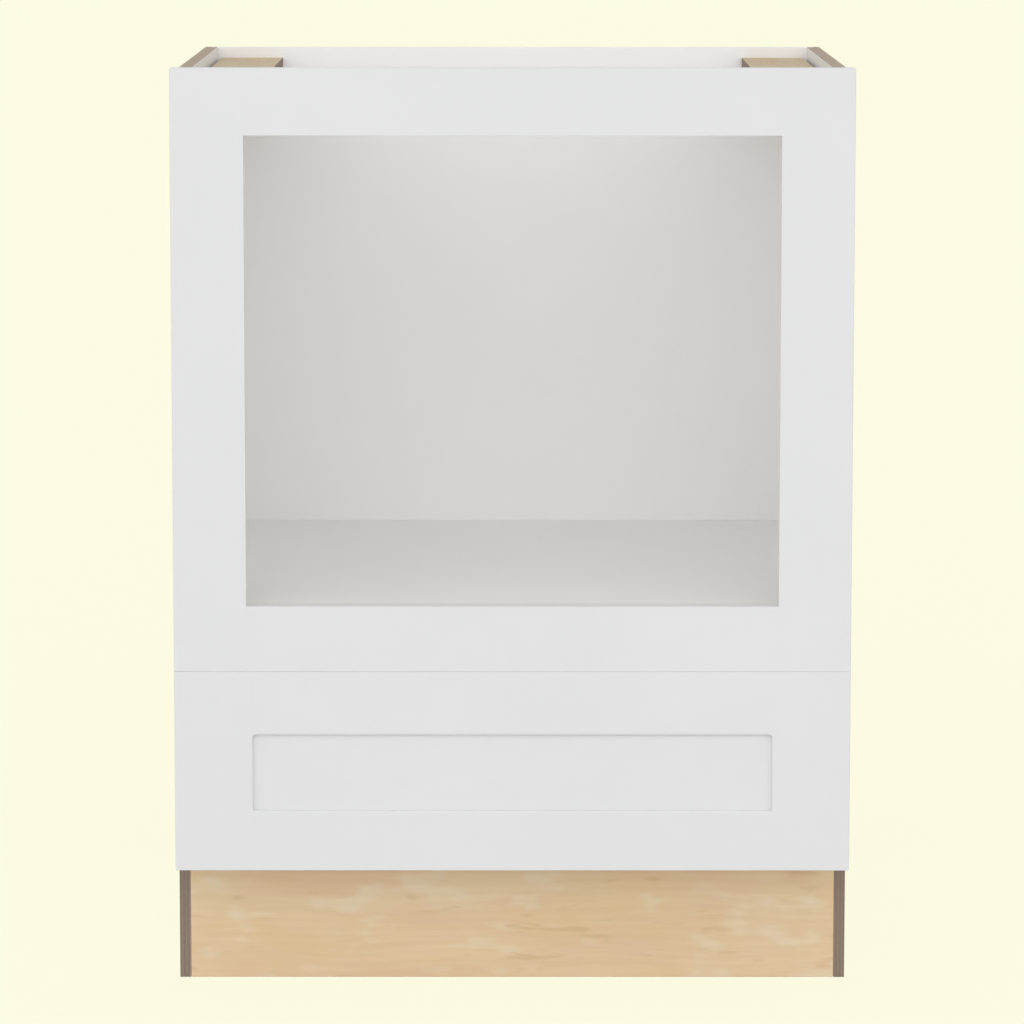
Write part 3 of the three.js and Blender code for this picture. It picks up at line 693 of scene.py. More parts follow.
class SharedEffects:
    """The node groups that more than one finish uses, each built when it is first asked for."""

    @staticmethod
    def _new(name: str, inputs: dict[str, float], outputs: Sequence[str]) -> tuple:
        """Starts a group that has a place as its first input.

        Args:
            name: The group's name.
            inputs: Its number inputs with their usual values.
            outputs: Its number outputs.

        Returns:
            The group's sheet, its inputs, its place, and what puts a value into an output.
        """
        tree = bpy.data.node_groups.new(name, "ShaderNodeTree")
        tree.interface.new_socket("Place", in_out="INPUT", socket_type="NodeSocketVector")
        for label, usual in inputs.items():
            made = tree.interface.new_socket(label, in_out="INPUT", socket_type="NodeSocketFloat")
            made.default_value = usual
        for label in outputs:
            tree.interface.new_socket(label, in_out="OUTPUT", socket_type="NodeSocketFloat")
        sheet = NodeSheet(tree)
        given = sheet.add("NodeGroupInput").outputs
        ends = sheet.add("NodeGroupOutput").inputs
        return sheet, given, given["Place"], lambda end, value: tree.links.new(value, ends[end])

    @cached_property
    def wood_figure(self) -> NodeTree:
        """Peeled maple: soft clouds and blushes, pale flecks, dark strokes, fibres and knots.

        X runs along the grain. A broad noise pushes the place about, and each layer is noise
        on that place, stretched along the grain and put through a smooth step. The rings are
        the sine of the distance from the tree's heart, and a knot is the middle of a cell.

        Returns:
            The group.
        """
        marks = ("Rings", "Streaks", "Fibres", "Clouds", "Blush", "Flecks", "Strokes", "Knots")
        sheet, given, place, put = self._new("wood_figure", {"Ring Width": 0.004}, marks)
        wander = sheet.noise(place, (3.0, 12.0, 12.0), 2.0).outputs["Color"]
        pushed = sheet.vector("MULTIPLY", wander, (0.08, 0.035, 0.035))
        swayed = sheet.vector("ADD", place, pushed)
        layers = {  # patches per metre along and across the grain, detail, low and high step
            "Streaks": (5.0, 62.0, 4.0, 0.3, 0.7),
            "Clouds": (9.0, 31.0, 3.0, 0.36, 0.64),
            "Blush": (6.0, 23.0, 2.0, 0.42, 0.66),
            "Flecks": (17.0, 43.0, 2.0, 0.53, 0.69),
            "Strokes": (21.0, 95.0, 2.0, 0.6, 0.74),
        }
        for name, (along, across, detail, *step) in layers.items():
            put(name, sheet.patches(step, swayed, (along, across, across), detail, 0.55))
        put("Fibres", sheet.patches((0.3, 0.72), place, (28.0, 900.0, 900.0), 3.0, 0.6))
        distance = sheet.vector("LENGTH", sheet.vector("MULTIPLY", swayed, (0.05, 1.0, 1.0)))
        count = sheet.math("DIVIDE", distance, given["Ring Width"])
        wave = sheet.math("SINE", sheet.math("MULTIPLY", count, FULL_TURN))
        put("Rings", sheet.levels(wave, -0.6, 1.0))
        spread = sheet.vector("MULTIPLY", swayed, (16.0, 20.0, 20.0))
        cells = sheet.add("TexVoronoi", {"Vector": spread, "Scale": 1.0, "Randomness": 1.0}).outputs
        near = sheet.levels(cells["Distance"], 0.01, 0.13, 1.0, 0.0)
        shade = sheet.add("SeparateColor", {0: cells["Color"]}).outputs[0]
        put("Knots", sheet.math("MULTIPLY", near, sheet.levels(shade, 0.45, 0.5)))
        return sheet.tree

    @cached_property
    def board_plies(self) -> NodeTree:
        """The edge of plywood: plies that alternate across the thickness, and glue lines.

        Depth runs from 0 to 1 through the board. The ply value is the sine of depth times
        the number of plies, made nearly square; the glue is where that sine passes zero.

        Returns:
            The group.
        """
        sheet, given, place, put = self._new(
            "board_plies", {"Depth": 0.5, "Plies": 7.0}, ("Cross Ply", "Glue", "Fibres")
        )
        wobble = sheet.noise(place, 40.0, 2.0).outputs["Fac"]
        shift = sheet.math("MULTIPLY", sheet.math("SUBTRACT", wobble, 0.5), 0.05)
        depth = sheet.math("ADD", given["Depth"], shift)
        turns = sheet.math("MULTIPLY", sheet.math("MULTIPLY", depth, given["Plies"]), math.pi)
        wave = sheet.math("SINE", turns)
        put("Cross Ply", sheet.levels(wave, -0.25, 0.25))
        put("Glue", sheet.levels(sheet.math("ABSOLUTE", wave), 0.12, 0.3, 1.0, 0.0))
        put("Fibres", sheet.patches((0.3, 0.7), place, 650.0, 3.0, 0.65))
        return sheet.tree

    @cached_property
    def coat_texture(self) -> NodeTree:
        """The fine relief of a sprayed or pressed coat, and its slow change in sheen.

        The relief is noise at the coat's own grain size with a broader noise under it.

        Returns:
            The group.
        """
        sheet, given, place, put = self._new(
            "coat_texture", {"Grains": 600.0}, ("Relief", "Sheen")
        )
        grain = {"Vector": place, "Scale": given["Grains"], "Detail": 2.0, "Roughness": 0.5}
        fine = sheet.add("TexNoise", grain).outputs["Fac"]
        broad = sheet.noise(place, 90.0, 2.0).outputs["Fac"]
        put("Relief", sheet.math("ADD", fine, sheet.math("MULTIPLY", broad, 0.35)))
        put("Sheen", sheet.patches((0.3, 0.7), place, 5.0, 3.0, 0.6))
        return sheet.tree

    @cached_property
    def handling(self) -> NodeTree:
        """Marks of use: faint smudges in patches, and hairline scratches inside them.

        Returns:
            The group.
        """
        sheet, _, place, put = self._new("handling", {}, ("Smudge", "Scratch"))
        smudge = sheet.patches((0.5, 0.75), place, 9.0, 3.0)
        put("Smudge", smudge)
        bent = sheet.noise(place, 6.0, 1.0).outputs["Color"]
        swept = sheet.vector("ADD", place, sheet.vector("MULTIPLY", bent, (0.05,) * 3))
        thin = sheet.patches((0.7, 0.74), swept, (12.0, 1400.0, 700.0), 1.0)
        put("Scratch", sheet.math("MULTIPLY", thin, smudge))
        return sheet.tree

    @cached_property
    def metal_grain(self) -> NodeTree:
        """Rolled and plated steel: fine lines along Y, and dull patches in the plating.

        Returns:
            The group.
        """
        sheet, _, place, put = self._new("metal_grain", {}, ("Lines", "Patches"))
        put("Lines", sheet.patches((0.25, 0.75), place, (2600.0, 30.0, 2600.0), 2.0))
        put("Patches", sheet.patches((0.35, 0.7), place, (160.0, 60.0, 160.0), 3.0, 0.6))
        return sheet.tree


class FinishSheet(NodeSheet):
    """A material's sheet, which knows the place on the cabinet and the shared effects."""

    def __init__(self, tree: NodeTree, effects: SharedEffects) -> None:
        """Starts with the place, in metres.

        Args:
            tree: The material's tree.
            effects: The shared node groups.
        """
        super().__init__(tree)
        self.effects = effects
        self.place = self.add("TexCoord").outputs["Object"]

    def coat(self, grains: float) -> dict[str, NodeSocket]:
        """The texture of a coat, with so many grains per metre."""
        return self.group(self.effects.coat_texture, self.place, grains=grains)


@dataclass(frozen=True, kw_only=True)
class Finish:
    """What all finishes share: a name, and the nodes that end in a Principled shader."""

    name: str
    relief: float = 0.00003  # how deep its relief is, in metres

    def build(self, effects: SharedEffects) -> Material:
        """Builds the material.

        Args:
            effects: The shared node groups.

        Returns:
            The material.
        """
        material = bpy.data.materials.new(self.name)
        material.use_nodes = True
        sheet = FinishSheet(material.node_tree, effects)
        values, height = self.look(sheet)
        bump = sheet.add("Bump", {"Height": height, "Distance": self.relief, "Strength": 1.0})
        shader = sheet.add("BsdfPrincipled", {**values, "Normal": bump.outputs["Normal"]})
        sheet.add("OutputMaterial", {"Surface": shader.outputs["BSDF"]})
        return material

    def look(self, sheet: FinishSheet) -> Look:
        """Adds this finish's own nodes; gives the shader's values and the relief's height."""
        raise NotImplementedError


@dataclass(frozen=True, kw_only=True)
class WhiteCoat(Finish):
    """A white coat on wood: sprayed satin paint, or pressed laminate."""

    colour: Colour
    shade: Colour  # where the coat is a little thinner or duller
    grains: float
    roughness: float
    sheen: tuple[float, float] = (-0.03, 0.04)  # what the sheen adds to the roughness
    smudge_tint: float = 0.12
    smudge_dulling: float = 0.05
    scratch_depth: float = 0.5  # as a share of the relief

    def look(self, sheet: FinishSheet) -> Look:
        """A coat that changes slowly in sheen, with smudges and scratches.

        Args:
            sheet: The material's sheet.

        Returns:
            The shader's values, and the relief's height from 0 to 1.
        """
        coat = sheet.coat(self.grains)
        marks = sheet.group(sheet.effects.handling, sheet.place)
        sheen, smudge = coat["Sheen"], marks["Smudge"]
        colour = sheet.tint(sheen, self.colour, self.shade)
        colour = sheet.layered(colour, (smudge, self.smudge_tint, self.shade))
        rough = sheet.levels(sheen, 0.0, 1.0, *(self.roughness + change for change in self.sheen))
        dulled = sheet.math("MULTIPLY", smudge, self.smudge_dulling)
        rough = sheet.math("ADD", rough, dulled)
        scratch = sheet.math("MULTIPLY", marks["Scratch"], self.scratch_depth)
        height = sheet.math("SUBTRACT", coat["Relief"], scratch)
        return {"Base Color": colour, "Roughness": rough, "Specular IOR Level": 0.4}, height


@dataclass(frozen=True, kw_only=True)
class PlyEdge(Finish):
    """The raw edge of a plywood panel."""

    through: Axis
    start: float  # where the panel's thickness starts, in millimetres
    thickness: float
    long_ply: Colour
    cross_ply: Colour
    glue: Colour
    ply: float = 1.7  # usual thickness of one ply; a panel has an odd number of them
    fibre_tint: float = 0.35
    glue_tint: float = 0.5
    roughness: tuple[float, float] = (0.7, 0.9)
    relief: float = 0.00015

    def look(self, sheet: FinishSheet) -> Look:
        """Plies with glue between them and fibres all over.

        Args:
            sheet: The material's sheet.

        Returns:
            The shader's values, and the relief's height from 0 to 1.
        """
        parts = sheet.add("SeparateXYZ", {"Vector": sheet.place}).outputs
        along = sheet.math("SUBTRACT", parts[self.through.value], self.start * MM)
        depth = sheet.math("DIVIDE", along, self.thickness * MM)
        plies = float(round(self.thickness / self.ply) | 1)
        edge = sheet.group(sheet.effects.board_plies, sheet.place, depth=depth, plies=plies)
        fibres, glue = edge["Fibres"], edge["Glue"]
        colour = sheet.tint(edge["Cross Ply"], self.long_ply, self.cross_ply)
        layers = (fibres, self.fibre_tint, self.cross_ply), (glue, self.glue_tint, self.glue)
        colour = sheet.layered(colour, *layers)
        height = sheet.math("SUBTRACT", fibres, glue)
        rough = sheet.levels(fibres, 0.0, 1.0, *self.roughness)
        return {"Base Color": colour, "Roughness": rough, "Specular IOR Level": 0.25}, height


@dataclass(frozen=True, kw_only=True)
class ClearMaple(Finish):
    """Pale maple under a clear satin coat, as solid wood with its own grain direction."""

    grain: Axis
    heart: Three  # from the grain space's origin to the tree's heart, in metres
    light: Colour = linear(234, 212, 176)
    middle: Colour = linear(227, 201, 162)
    pink: Colour = linear(229, 197, 163)
    yellow: Colour = linear(229, 202, 153)
    pale: Colour = linear(235, 220, 193)
    dark: Colour = linear(208, 176, 129)
    knot: Colour = linear(182, 146, 92)
    tone: Colour = (1.0, 1.0, 1.0)  # multiplies the wood's colour
    rings: float = 0.08  # how much the growth rings show
    ring_width: float = 0.0085
    coat_grains: float = 900.0
    fibre_relief: float = 0.7
    roughness: tuple[float, float] = (0.4, 0.5)

    def look(self, sheet: FinishSheet) -> Look:
        """Wood figure along the grain, in layers of colour under the coat.

        Args:
            sheet: The material's sheet.

        Returns:
            The shader's values, and the relief's height from 0 to 1.
        """
        turn = {Axis.X: (0, 0, 0), Axis.Y: (0, 0, -math.pi / 2), Axis.Z: (0, math.pi / 2, 0)}
        laid = {"Vector": sheet.place, "Location": self.heart, "Rotation": turn[self.grain]}
        place = sheet.add("Mapping", laid).outputs["Vector"]
        wood = sheet.group(sheet.effects.wood_figure, place, ring_width=self.ring_width)
        coat = sheet.coat(self.coat_grains)
        colour = sheet.layered(
            sheet.tint(wood["Streaks"], self.middle, self.light),
            (wood["Clouds"], 0.7, self.pink),
            (wood["Blush"], 0.6, self.yellow),
            (wood["Flecks"], 0.6, self.pale),
            (wood["Strokes"], 0.5, self.dark),
            (wood["Rings"], self.rings, self.dark),
            (wood["Fibres"], 0.12, self.dark),
            (wood["Knots"], 0.55, self.knot),
        )
        colour = sheet.tint(1.0, colour, self.tone, "MULTIPLY")
        rough = sheet.levels(wood["Fibres"], 0.0, 1.0, *self.roughness)
        raised = sheet.math("MULTIPLY", wood["Fibres"], self.fibre_relief)
        height = sheet.math("ADD", raised, coat["Relief"])
        return {"Base Color": colour, "Roughness": rough, "Specular IOR Level": 0.4}, height


@dataclass(frozen=True, kw_only=True)
class PlatedSteel(Finish):
    """Zinc-plated steel, bright or yellow."""

    bright: Colour
    dull: Colour
    roughness: float
    wear: tuple[float, float] = (-0.06, 0.1)  # what lines and patches add to the roughness
    patch_wear: float = 0.6  # how much a patch counts beside a line
    relief: float = 0.000008

    def look(self, sheet: FinishSheet) -> Look:
        """Plating with fine rolled lines and duller patches.

        Args:
            sheet: The material's sheet.

        Returns:
            The shader's values, and the relief's height from 0 to 1.
        """
        grain = sheet.group(sheet.effects.metal_grain, sheet.place)
        patches, lines = grain["Patches"], grain["Lines"]
        colour = sheet.tint(patches, self.bright, self.dull)
        worn = sheet.math("ADD", sheet.math("MULTIPLY", patches, self.patch_wear), lines)
        ends = (self.roughness + change for change in self.wear)
        rough = sheet.levels(worn, 0.0, 1.0 + self.patch_wear, *ends)
        return {"Base Color": colour, "Roughness": rough, "Metallic": 1.0}, lines


@dataclass(frozen=True, kw_only=True)
class SoftPlastic(Finish):
    """The cloudy soft plastic of a bumper."""

    colour: Colour
    cloud: Colour
    grains: float = 1500.0
    roughness: tuple[float, float] = (0.35, 0.5)
    clearness: float = 0.35
    bending: float = 1.45  # index of refraction

    def look(self, sheet: FinishSheet) -> Look:
        """Cloudy plastic that lets some light through.

        Args:
            sheet: The material's sheet.

        Returns:
            The shader's values, and the relief's height from 0 to 1.
        """
        coat = sheet.coat(self.grains)
        colour = sheet.tint(coat["Sheen"], self.colour, self.cloud)
        rough = sheet.levels(coat["Relief"], 0.2, 1.0, *self.roughness)
        through = {"Transmission Weight": self.clearness, "IOR": self.bending}
        return {"Base Color": colour, "Roughness": rough, **through}, coat["Relief"]


class FinishShop:
    """Holds the finishes of the cabinet and makes each material once."""

    def __init__(self) -> None:
        """Builds the shared effects and the plain finishes."""
        self.effects = SharedEffects()
        paint = WhiteCoat(
            name="satin_white_paint",
            colour=(0.802, 0.806, 0.804),
            shade=(0.788, 0.792, 0.791),
            grains=700.0,
            roughness=0.42,
            relief=0.00002,
        )
        laminate = WhiteCoat(
            name="white_laminate_face",
            colour=(0.925, 0.923, 0.917),
            shade=(0.915, 0.912, 0.906),
            grains=1500.0,
            roughness=0.5,
        )
        zinc = PlatedSteel(
            name="bright_zinc_steel",
            bright=(0.62, 0.63, 0.65),
            dull=(0.5, 0.52, 0.55),
            roughness=0.3,
        )
        yellow = PlatedSteel(
            name="yellow_zinc_steel",
            bright=(0.66, 0.58, 0.38),
            dull=(0.52, 0.5, 0.4),
            roughness=0.32,
        )
        plastic = SoftPlastic(
            name="cloudy_bumper", colour=(0.75, 0.77, 0.75), cloud=(0.62, 0.64, 0.62)
        )
        plain = (paint, laminate, zinc, yellow, plastic)
        built = (finish.build(self.effects) for finish in plain)
        self.paint, self.laminate, self.zinc, self.yellow_zinc, self.rubber = built

    def panel(self, node: str, through: Axis) -> list[Material]:
        """The finishes of a white panel, in the order of panel_finishes."""
        return [self.laminate, *self.raw_edges(node, through)]

    def raw_edges(self, node: str, through: Axis) -> list[Material]:
        """The two finishes of the edges of one plywood panel.

        Args:
            node: The panel's CAD node.
            through: The direction of its thickness.

        Returns:
            The raw edge, and a lighter copy of it for the upper edges, which paints the light that
            falls on them from above.
        """
        start, stop = (float(corner[through.value]) for corner in span(node))
        # upper_edge is the same plies painted lighter for the edges that face up: painted light
        # from above
        looks = {  # the long plies, the cross plies and the glue
            "raw_edge": ((154, 139, 124), (145, 126, 113), (127, 110, 97)),
            "upper_edge": ((202, 186, 166), (180, 164, 144), (146, 129, 110)),
        }
        return [
            PlyEdge(
                name=f"{node}_{name}",
                through=through,
                start=start,
                thickness=stop - start,
                long_ply=linear(*long_ply),
                cross_ply=linear(*cross_ply),
                glue=linear(*glue),
            ).build(self.effects)
            for name, (long_ply, cross_ply, glue) in looks.items()
        ]

    def maple(self, node: str, grain: Axis, face: str, **look: object) -> Material:
        """Clear maple for one board, with a heart of its own so that no two boards match.

        Args:
            node: The board's CAD node.
            grain: The direction that its grain runs in.
            face: Which of the board's faces it is for.
            **look: Other fields of ClearMaple.

        Returns:
            The material.
        """
        pick = np.random.default_rng(sum(ord(letter) * 7 for letter in node))
        heart = tuple(float(pick.uniform(*ends)) for ends in ((-2, 2), (0.05, 0.12), (0.03, 0.3)))
        name = f"{node}_maple_{face}"
        return ClearMaple(name=name, grain=grain, heart=heart, **look).build(self.effects)

    def solid_maple(self, node: str, grain: Axis) -> list[Material]:
        """The finishes of a solid maple board: along its grain, and the end grain."""
        end_look = {"tone": (0.8, 0.75, 0.68), "rings": 0.45}
        return [self.maple(node, grain, "side"), self.maple(node, grain, "end", **end_look)]


@dataclass
class Assembly:
    """What every sub-assembly has: the shop that its finishes come from."""

    shop: FinishShop

    def add_maple(self, node: str, mesh: Mesh, grain: Axis, body: Body) -> Object:
        """Adds a solid maple board, with end grain on the faces across its grain."""
        set_finishes(mesh, np.abs(per_face(mesh, "normal")[:, grain.value]) > FACING)
        return add_piece(node, mesh, self.shop.solid_maple(node, grain), body, Slot.MAPLE)

    def add_plain_maple(self, node: str, grain: Axis, body: Body, radius: float) -> None:
        """Adds a CAD node's box as a maple board with all its edges rounded alike."""
        self.add_maple(node, plain_board(node, grain, radius), grain, body)


# --- the box


@dataclass
class PlywoodBox(Assembly):
    """Sides, bottom, shelf and back of white-faced plywood, and the two maple base boards."""

    arris: float = 0.3  # radius of a sawn and banded edge
    board_edge: float = 0.8  # radius of a maple board's edges
    nose: float = 0.8  # how far the shelf runs on in front of the side panels
    nose_trim: float = 6.0  # how much narrower the nose is at each side
    nose_step: float = 0.02  # length over which the nose widens to the full shelf

    def build(self) -> None:
        """Builds every board of the box."""
        for name in SIDES:
            # A side panel keeps its toe notch and its grooves as cut.
            node = f"{name}_side_panel"
            mesh = jointed_board(node, lambda middle, run: self.arris)
            panel_finishes(mesh, Axis.X, banded_front=True)
            round_edges(self._add(node, mesh, Axis.X))
        for node, through in (("bottom_panel", Axis.Z), ("back_panel", Axis.Y)):
            mesh = plain_board(node, Axis.X, self.arris)
            panel_finishes(mesh, through, banded_front=True, banded_top=through is Axis.Y)
            self._add(node, mesh, through)
        self._shelf()
        for node in ("toe_kick_board", "rear_base_rail"):
            self.add_plain_maple(node, Axis.X, Body.CABINET, self.board_edge)

    def _shelf(self) -> None:
        """The microwave shelf: narrower in front of the side panels, full width behind."""
        node, edges = "microwave_shelf", (self.arris,) * 4
        low, high = span(node)
        step = low[1] + self.nose
        # Along Y the first cross axis is Z and the second is X: sides 0 and 2 are the ends.
        narrow = (self.nose_trim, 0.0, self.nose_trim, 0.0)
        stations = (Station(step, edges, narrow), Station(step + self.nose_step, edges))
        mesh = eased_board(low, high, Axis.Y, Easing.even(self.arris), stations).to_mesh(node)
        panel_finishes(mesh, Axis.Z)
        self._add(node, mesh, Axis.Z)

    def _add(self, node: str, mesh: Mesh, through: Axis) -> Object:
        """Adds a white panel, with the finishes of its thickness's direction."""
        return add_piece(node, mesh, self.shop.panel(node, through), Body.CABINET, Slot.LAMINATE)


@dataclass
class InnerStrips(Assembly):
    """The strips inside the box: stretcher, shelf rail, top braces and frame cleats."""

    edge: float = 0.8  # radius of the edges of the solid strips
    arris: float = 0.3  # radius of the braces' edges
    # darker, yellower maple for the braces: partly the veneer's own tone, partly painted shade for
    # their place inside the top of the box
    brace_tone: Colour = (0.69, 0.68, 0.57)

    def build(self) -> None:
        """Builds every strip, with its grain along its length."""
        strips = {"front_stretcher": Axis.X, "shelf_front_rail": Axis.X}
        strips |= {f"frame_cleat_{name}": Axis.Z for name in SIDES}
        for node, axis in strips.items():
            self.add_plain_maple(node, axis, Body.CABINET, self.edge)
        for name in SIDES:
            # A brace is maple-faced plywood with raw edges, stepped along its outer edge.
            node = f"top_brace_{name}"
            mesh = jointed_board(node, lambda middle, run: self.arris)
            panel_finishes(mesh, Axis.Z)
            # the braces' maple is toned darker: its own tone, plus painted shade
            face = self.shop.maple(node, Axis.Y, "face", tone=self.brace_tone)
            finishes = [face, *self.shop.raw_edges(node, Axis.Z)]
            round_edges(add_piece(node, mesh, finishes, Body.CABINET, Slot.MAPLE))


# --- painted fronts


@dataclass
class PaintedFrame(Assembly):
    """Stiles and rails that are glued flush and painted as one, with hairline joints."""

    body: Body
    prefix: str  # what the names of its four CAD nodes start with
    outer_edge: float = 0.8  # radius of the edges up the outside of the stiles
    lower_edge: float = 0.8  # radius of the lower front edge
    upper_edge: float = 0.8  # radius of the upper front edge
    inner_edge: float = 0.4  # radius of the stiles' edges beside the opening or the panel
    rail_edges: tuple[float, float] = (0.4, 0.4)  # of the lower and the upper rail there
    back_edge: float = 0.4
    hairline: float = 0.02  # joint between two painted boards, and the radius of its edges
    grow_below: float = 0.0  # how far the frame runs on below its CAD boards
    grow_above: float = 0.0

    def build(self) -> None:
        """Builds the two stiles and the two rails."""
        stiles = {side: f"{self.prefix}_stile_{name}" for name, side in SIDES.items()}
        rails = [f"{self.prefix}_{level}_rail" for level in ("bottom", "top")]
        opening = (span(rails[0])[1][2], span(rails[1])[0][2])
        for side, node in stiles.items():
            self._stile(node, side, opening)
        inside = (span(stiles[-1])[1][0], span(stiles[1])[0][0])
        for level, node in enumerate(rails):
            self._rail(node, inside, is_upper=bool(level))

    def _stile(self, node: str, side: int, opening: tuple[float, float]) -> None:
        """A stile: its section is carried up Z, sharp where a rail meets it.

        Args:
            node: Its CAD node.
            side: -1 for the left stile and 1 for the right one.
            opening: Lower and upper edge of the space between the rails.
        """
        low, high = span(node)
        low[2] -= self.grow_below
        high[2] += self.grow_above
        # Along Z the first cross axis is X and the second is Y: the lower side is the front.
        outer, thin, back = self.outer_edge, self.hairline, self.back_edge
        joint = (outer, thin, thin, back) if side < 0 else (thin, outer, back, thin)
        inner = self.inner_edge
        clear = (outer, inner, back, back) if side < 0 else (inner, outer, back, back)
        around = (thin, back, outer) if side < 0 else (outer, back, thin)
        stations = (
            Station(opening[0], joint),
            Station(opening[0] + inner, clear),
            Station(opening[1] - inner, clear),
            Station(opening[1], joint),
        )
        easing = Easing(joint, (self.lower_edge, *around), (self.upper_edge, *around))
        self._add(node, eased_board(low, high, Axis.Z, easing, stations).to_mesh(node))

    def _rail(self, node: str, inside: tuple[float, float], is_upper: bool) -> None:
        """A rail: its section is carried along X from stile to stile.

        Args:
            node: Its CAD node.
            inside: The inner edges of the two stiles.
            is_upper: Whether it is the upper rail.
        """
        low, high = span(node)
        low[0], high[0] = inside[0] + self.hairline, inside[1] - self.hairline
        if is_upper:
            high[2] += self.grow_above
        else:
            low[2] -= self.grow_below
        # Along X the first cross axis is Y and the second is Z: the left side is the front.
        inner, thin, back = self.rail_edges[is_upper], self.hairline, self.back_edge
        upper, lower = self.upper_edge, self.lower_edge
        full = (inner, back, back, upper) if is_upper else (lower, back, back, inner)
        tied = (thin, back, back, upper) if is_upper else (lower, back, back, thin)
        ends = (thin,) * 4
        stations = (
            Station(low[0] + thin, tied),
            Station(low[0] + inner, full),
            Station(high[0] - inner, full),
            Station(high[0] - thin, tied),
        )
        easing = Easing(tied, ends, ends)
        self._add(node, eased_board(low, high, Axis.X, easing, stations).to_mesh(node))

    def _add(self, node: str, mesh: Mesh) -> None:
        """Adds a painted board in place of its CAD node."""
        add_piece(node, mesh, [self.shop.paint], self.body, Slot.PAINT)


@dataclass
class FrontFrame(PaintedFrame):
    """The fixed frame round the microwave opening."""

    body: Body = Body.CABINET
    prefix: str = "frame"
    lower_edge: float = MEETING_EDGE
    grow_below: float = PAINT_BUILD


@dataclass
class DrawerFront(PaintedFrame):
    """The five-piece drawer front with its two bumpers."""

    body: Body = Body.DRAWER
    prefix: str = "drawer_front"
    upper_edge: float = MEETING_EDGE
    inner_edge: float = 1.8
    rail_edges: tuple[float, float] = (1.6, 2.8)
    grow_above: float = PAINT_BUILD
    panel_edge: float = 0.3
    bumper_radius: float = 4.0
    bumper_height: float = 0.6
    dome_power: float = 0.6
    stem_radius: float = 2.5
    stem_tip: float = 0.5  # length of the stem's tapered tip
    stem_taper: float = 0.8  # the tip's radius as a share of the stem's

    def build(self) -> None:
        """Builds the frame of the front, its panel and the bumpers."""
        super().build()
        node = "drawer_front_panel"
        self._add(node, plain_board(node, Axis.X, self.panel_edge))
        for name in SIDES:
            self._bumper(f"drawer_bumper_{name}")

    def _bumper(self, node: str) -> None:
        """A bumper: a stem and a low dome, turned round the Y axis.

        The dome's height over radius r is its height times (1 - (r / R) squared) to a power.

        Args:
            node: Its CAD node.
        """
        low, high = span(node)
        middle = (low + high) / 2
        base = high[1] - self.bumper_height
        tip, stem = low[1] - base, self.stem_radius
        pole, rings, around = 0.06, 9, 32
        share = np.linspace(1, pole, rings)
        dome = self.bumper_height * (1 - share**2) ** self.dome_power
        profile = [[stem * self.stem_taper, tip], [stem, tip + self.stem_tip], [stem, 0.0]]
        profile += [[self.bumper_radius * s, h] for s, h in zip(share, dome)]
        place = np.array([[1, 0, 0], [0, 0, -1], [0, 1, 0]])
        shape = turned(np.array(profile), around).moved(
            lambda points: points @ place + [middle[0], base, middle[2]]
        )
        mesh = shape.to_mesh(node)
        round_shading(mesh, sharp_degrees=40)
        add_piece(node, mesh, [self.shop.rubber], Body.DRAWER, Slot.RUBBER)


# --- drawer box


@dataclass
class DrawerBox(Assembly):
    """The dovetailed maple drawer box."""

    top_edge: float = 1.8  # radius of the drawer's upper edges
    arris: float = 0.35
    bottom_edge: float = 0.3
    slack: float = 0.1  # an upper edge lies at most this far from its board's top
    straight: float = 0.99  # and has at least this share of its run along the board

    def build(self) -> None:
        """Builds the four dovetailed boards and the bottom."""
        boards = {"drawer_box_front": Axis.X, "drawer_box_back": Axis.X}
        boards |= {f"drawer_side_{name}": Axis.Y for name in SIDES}
        for node, axis in boards.items():
            top = span(node)[1][2]
            mesh = jointed_board(node, partial(self._radius, top, axis))
            round_edges(self.add_maple(node, mesh, axis, Body.DRAWER))
        self.add_plain_maple("drawer_bottom", Axis.X, Body.DRAWER, self.bottom_edge)

    def _radius(self, top: float, axis: Axis, middle: np.ndarray, run: np.ndarray) -> float:
        """An edge's radius: wide on a board's long upper edges, and narrow elsewhere."""
        upper = abs(middle[2] - top) < self.slack and abs(run[axis.value]) > self.straight
        return self.top_edge if upper else self.arris


# --- slides


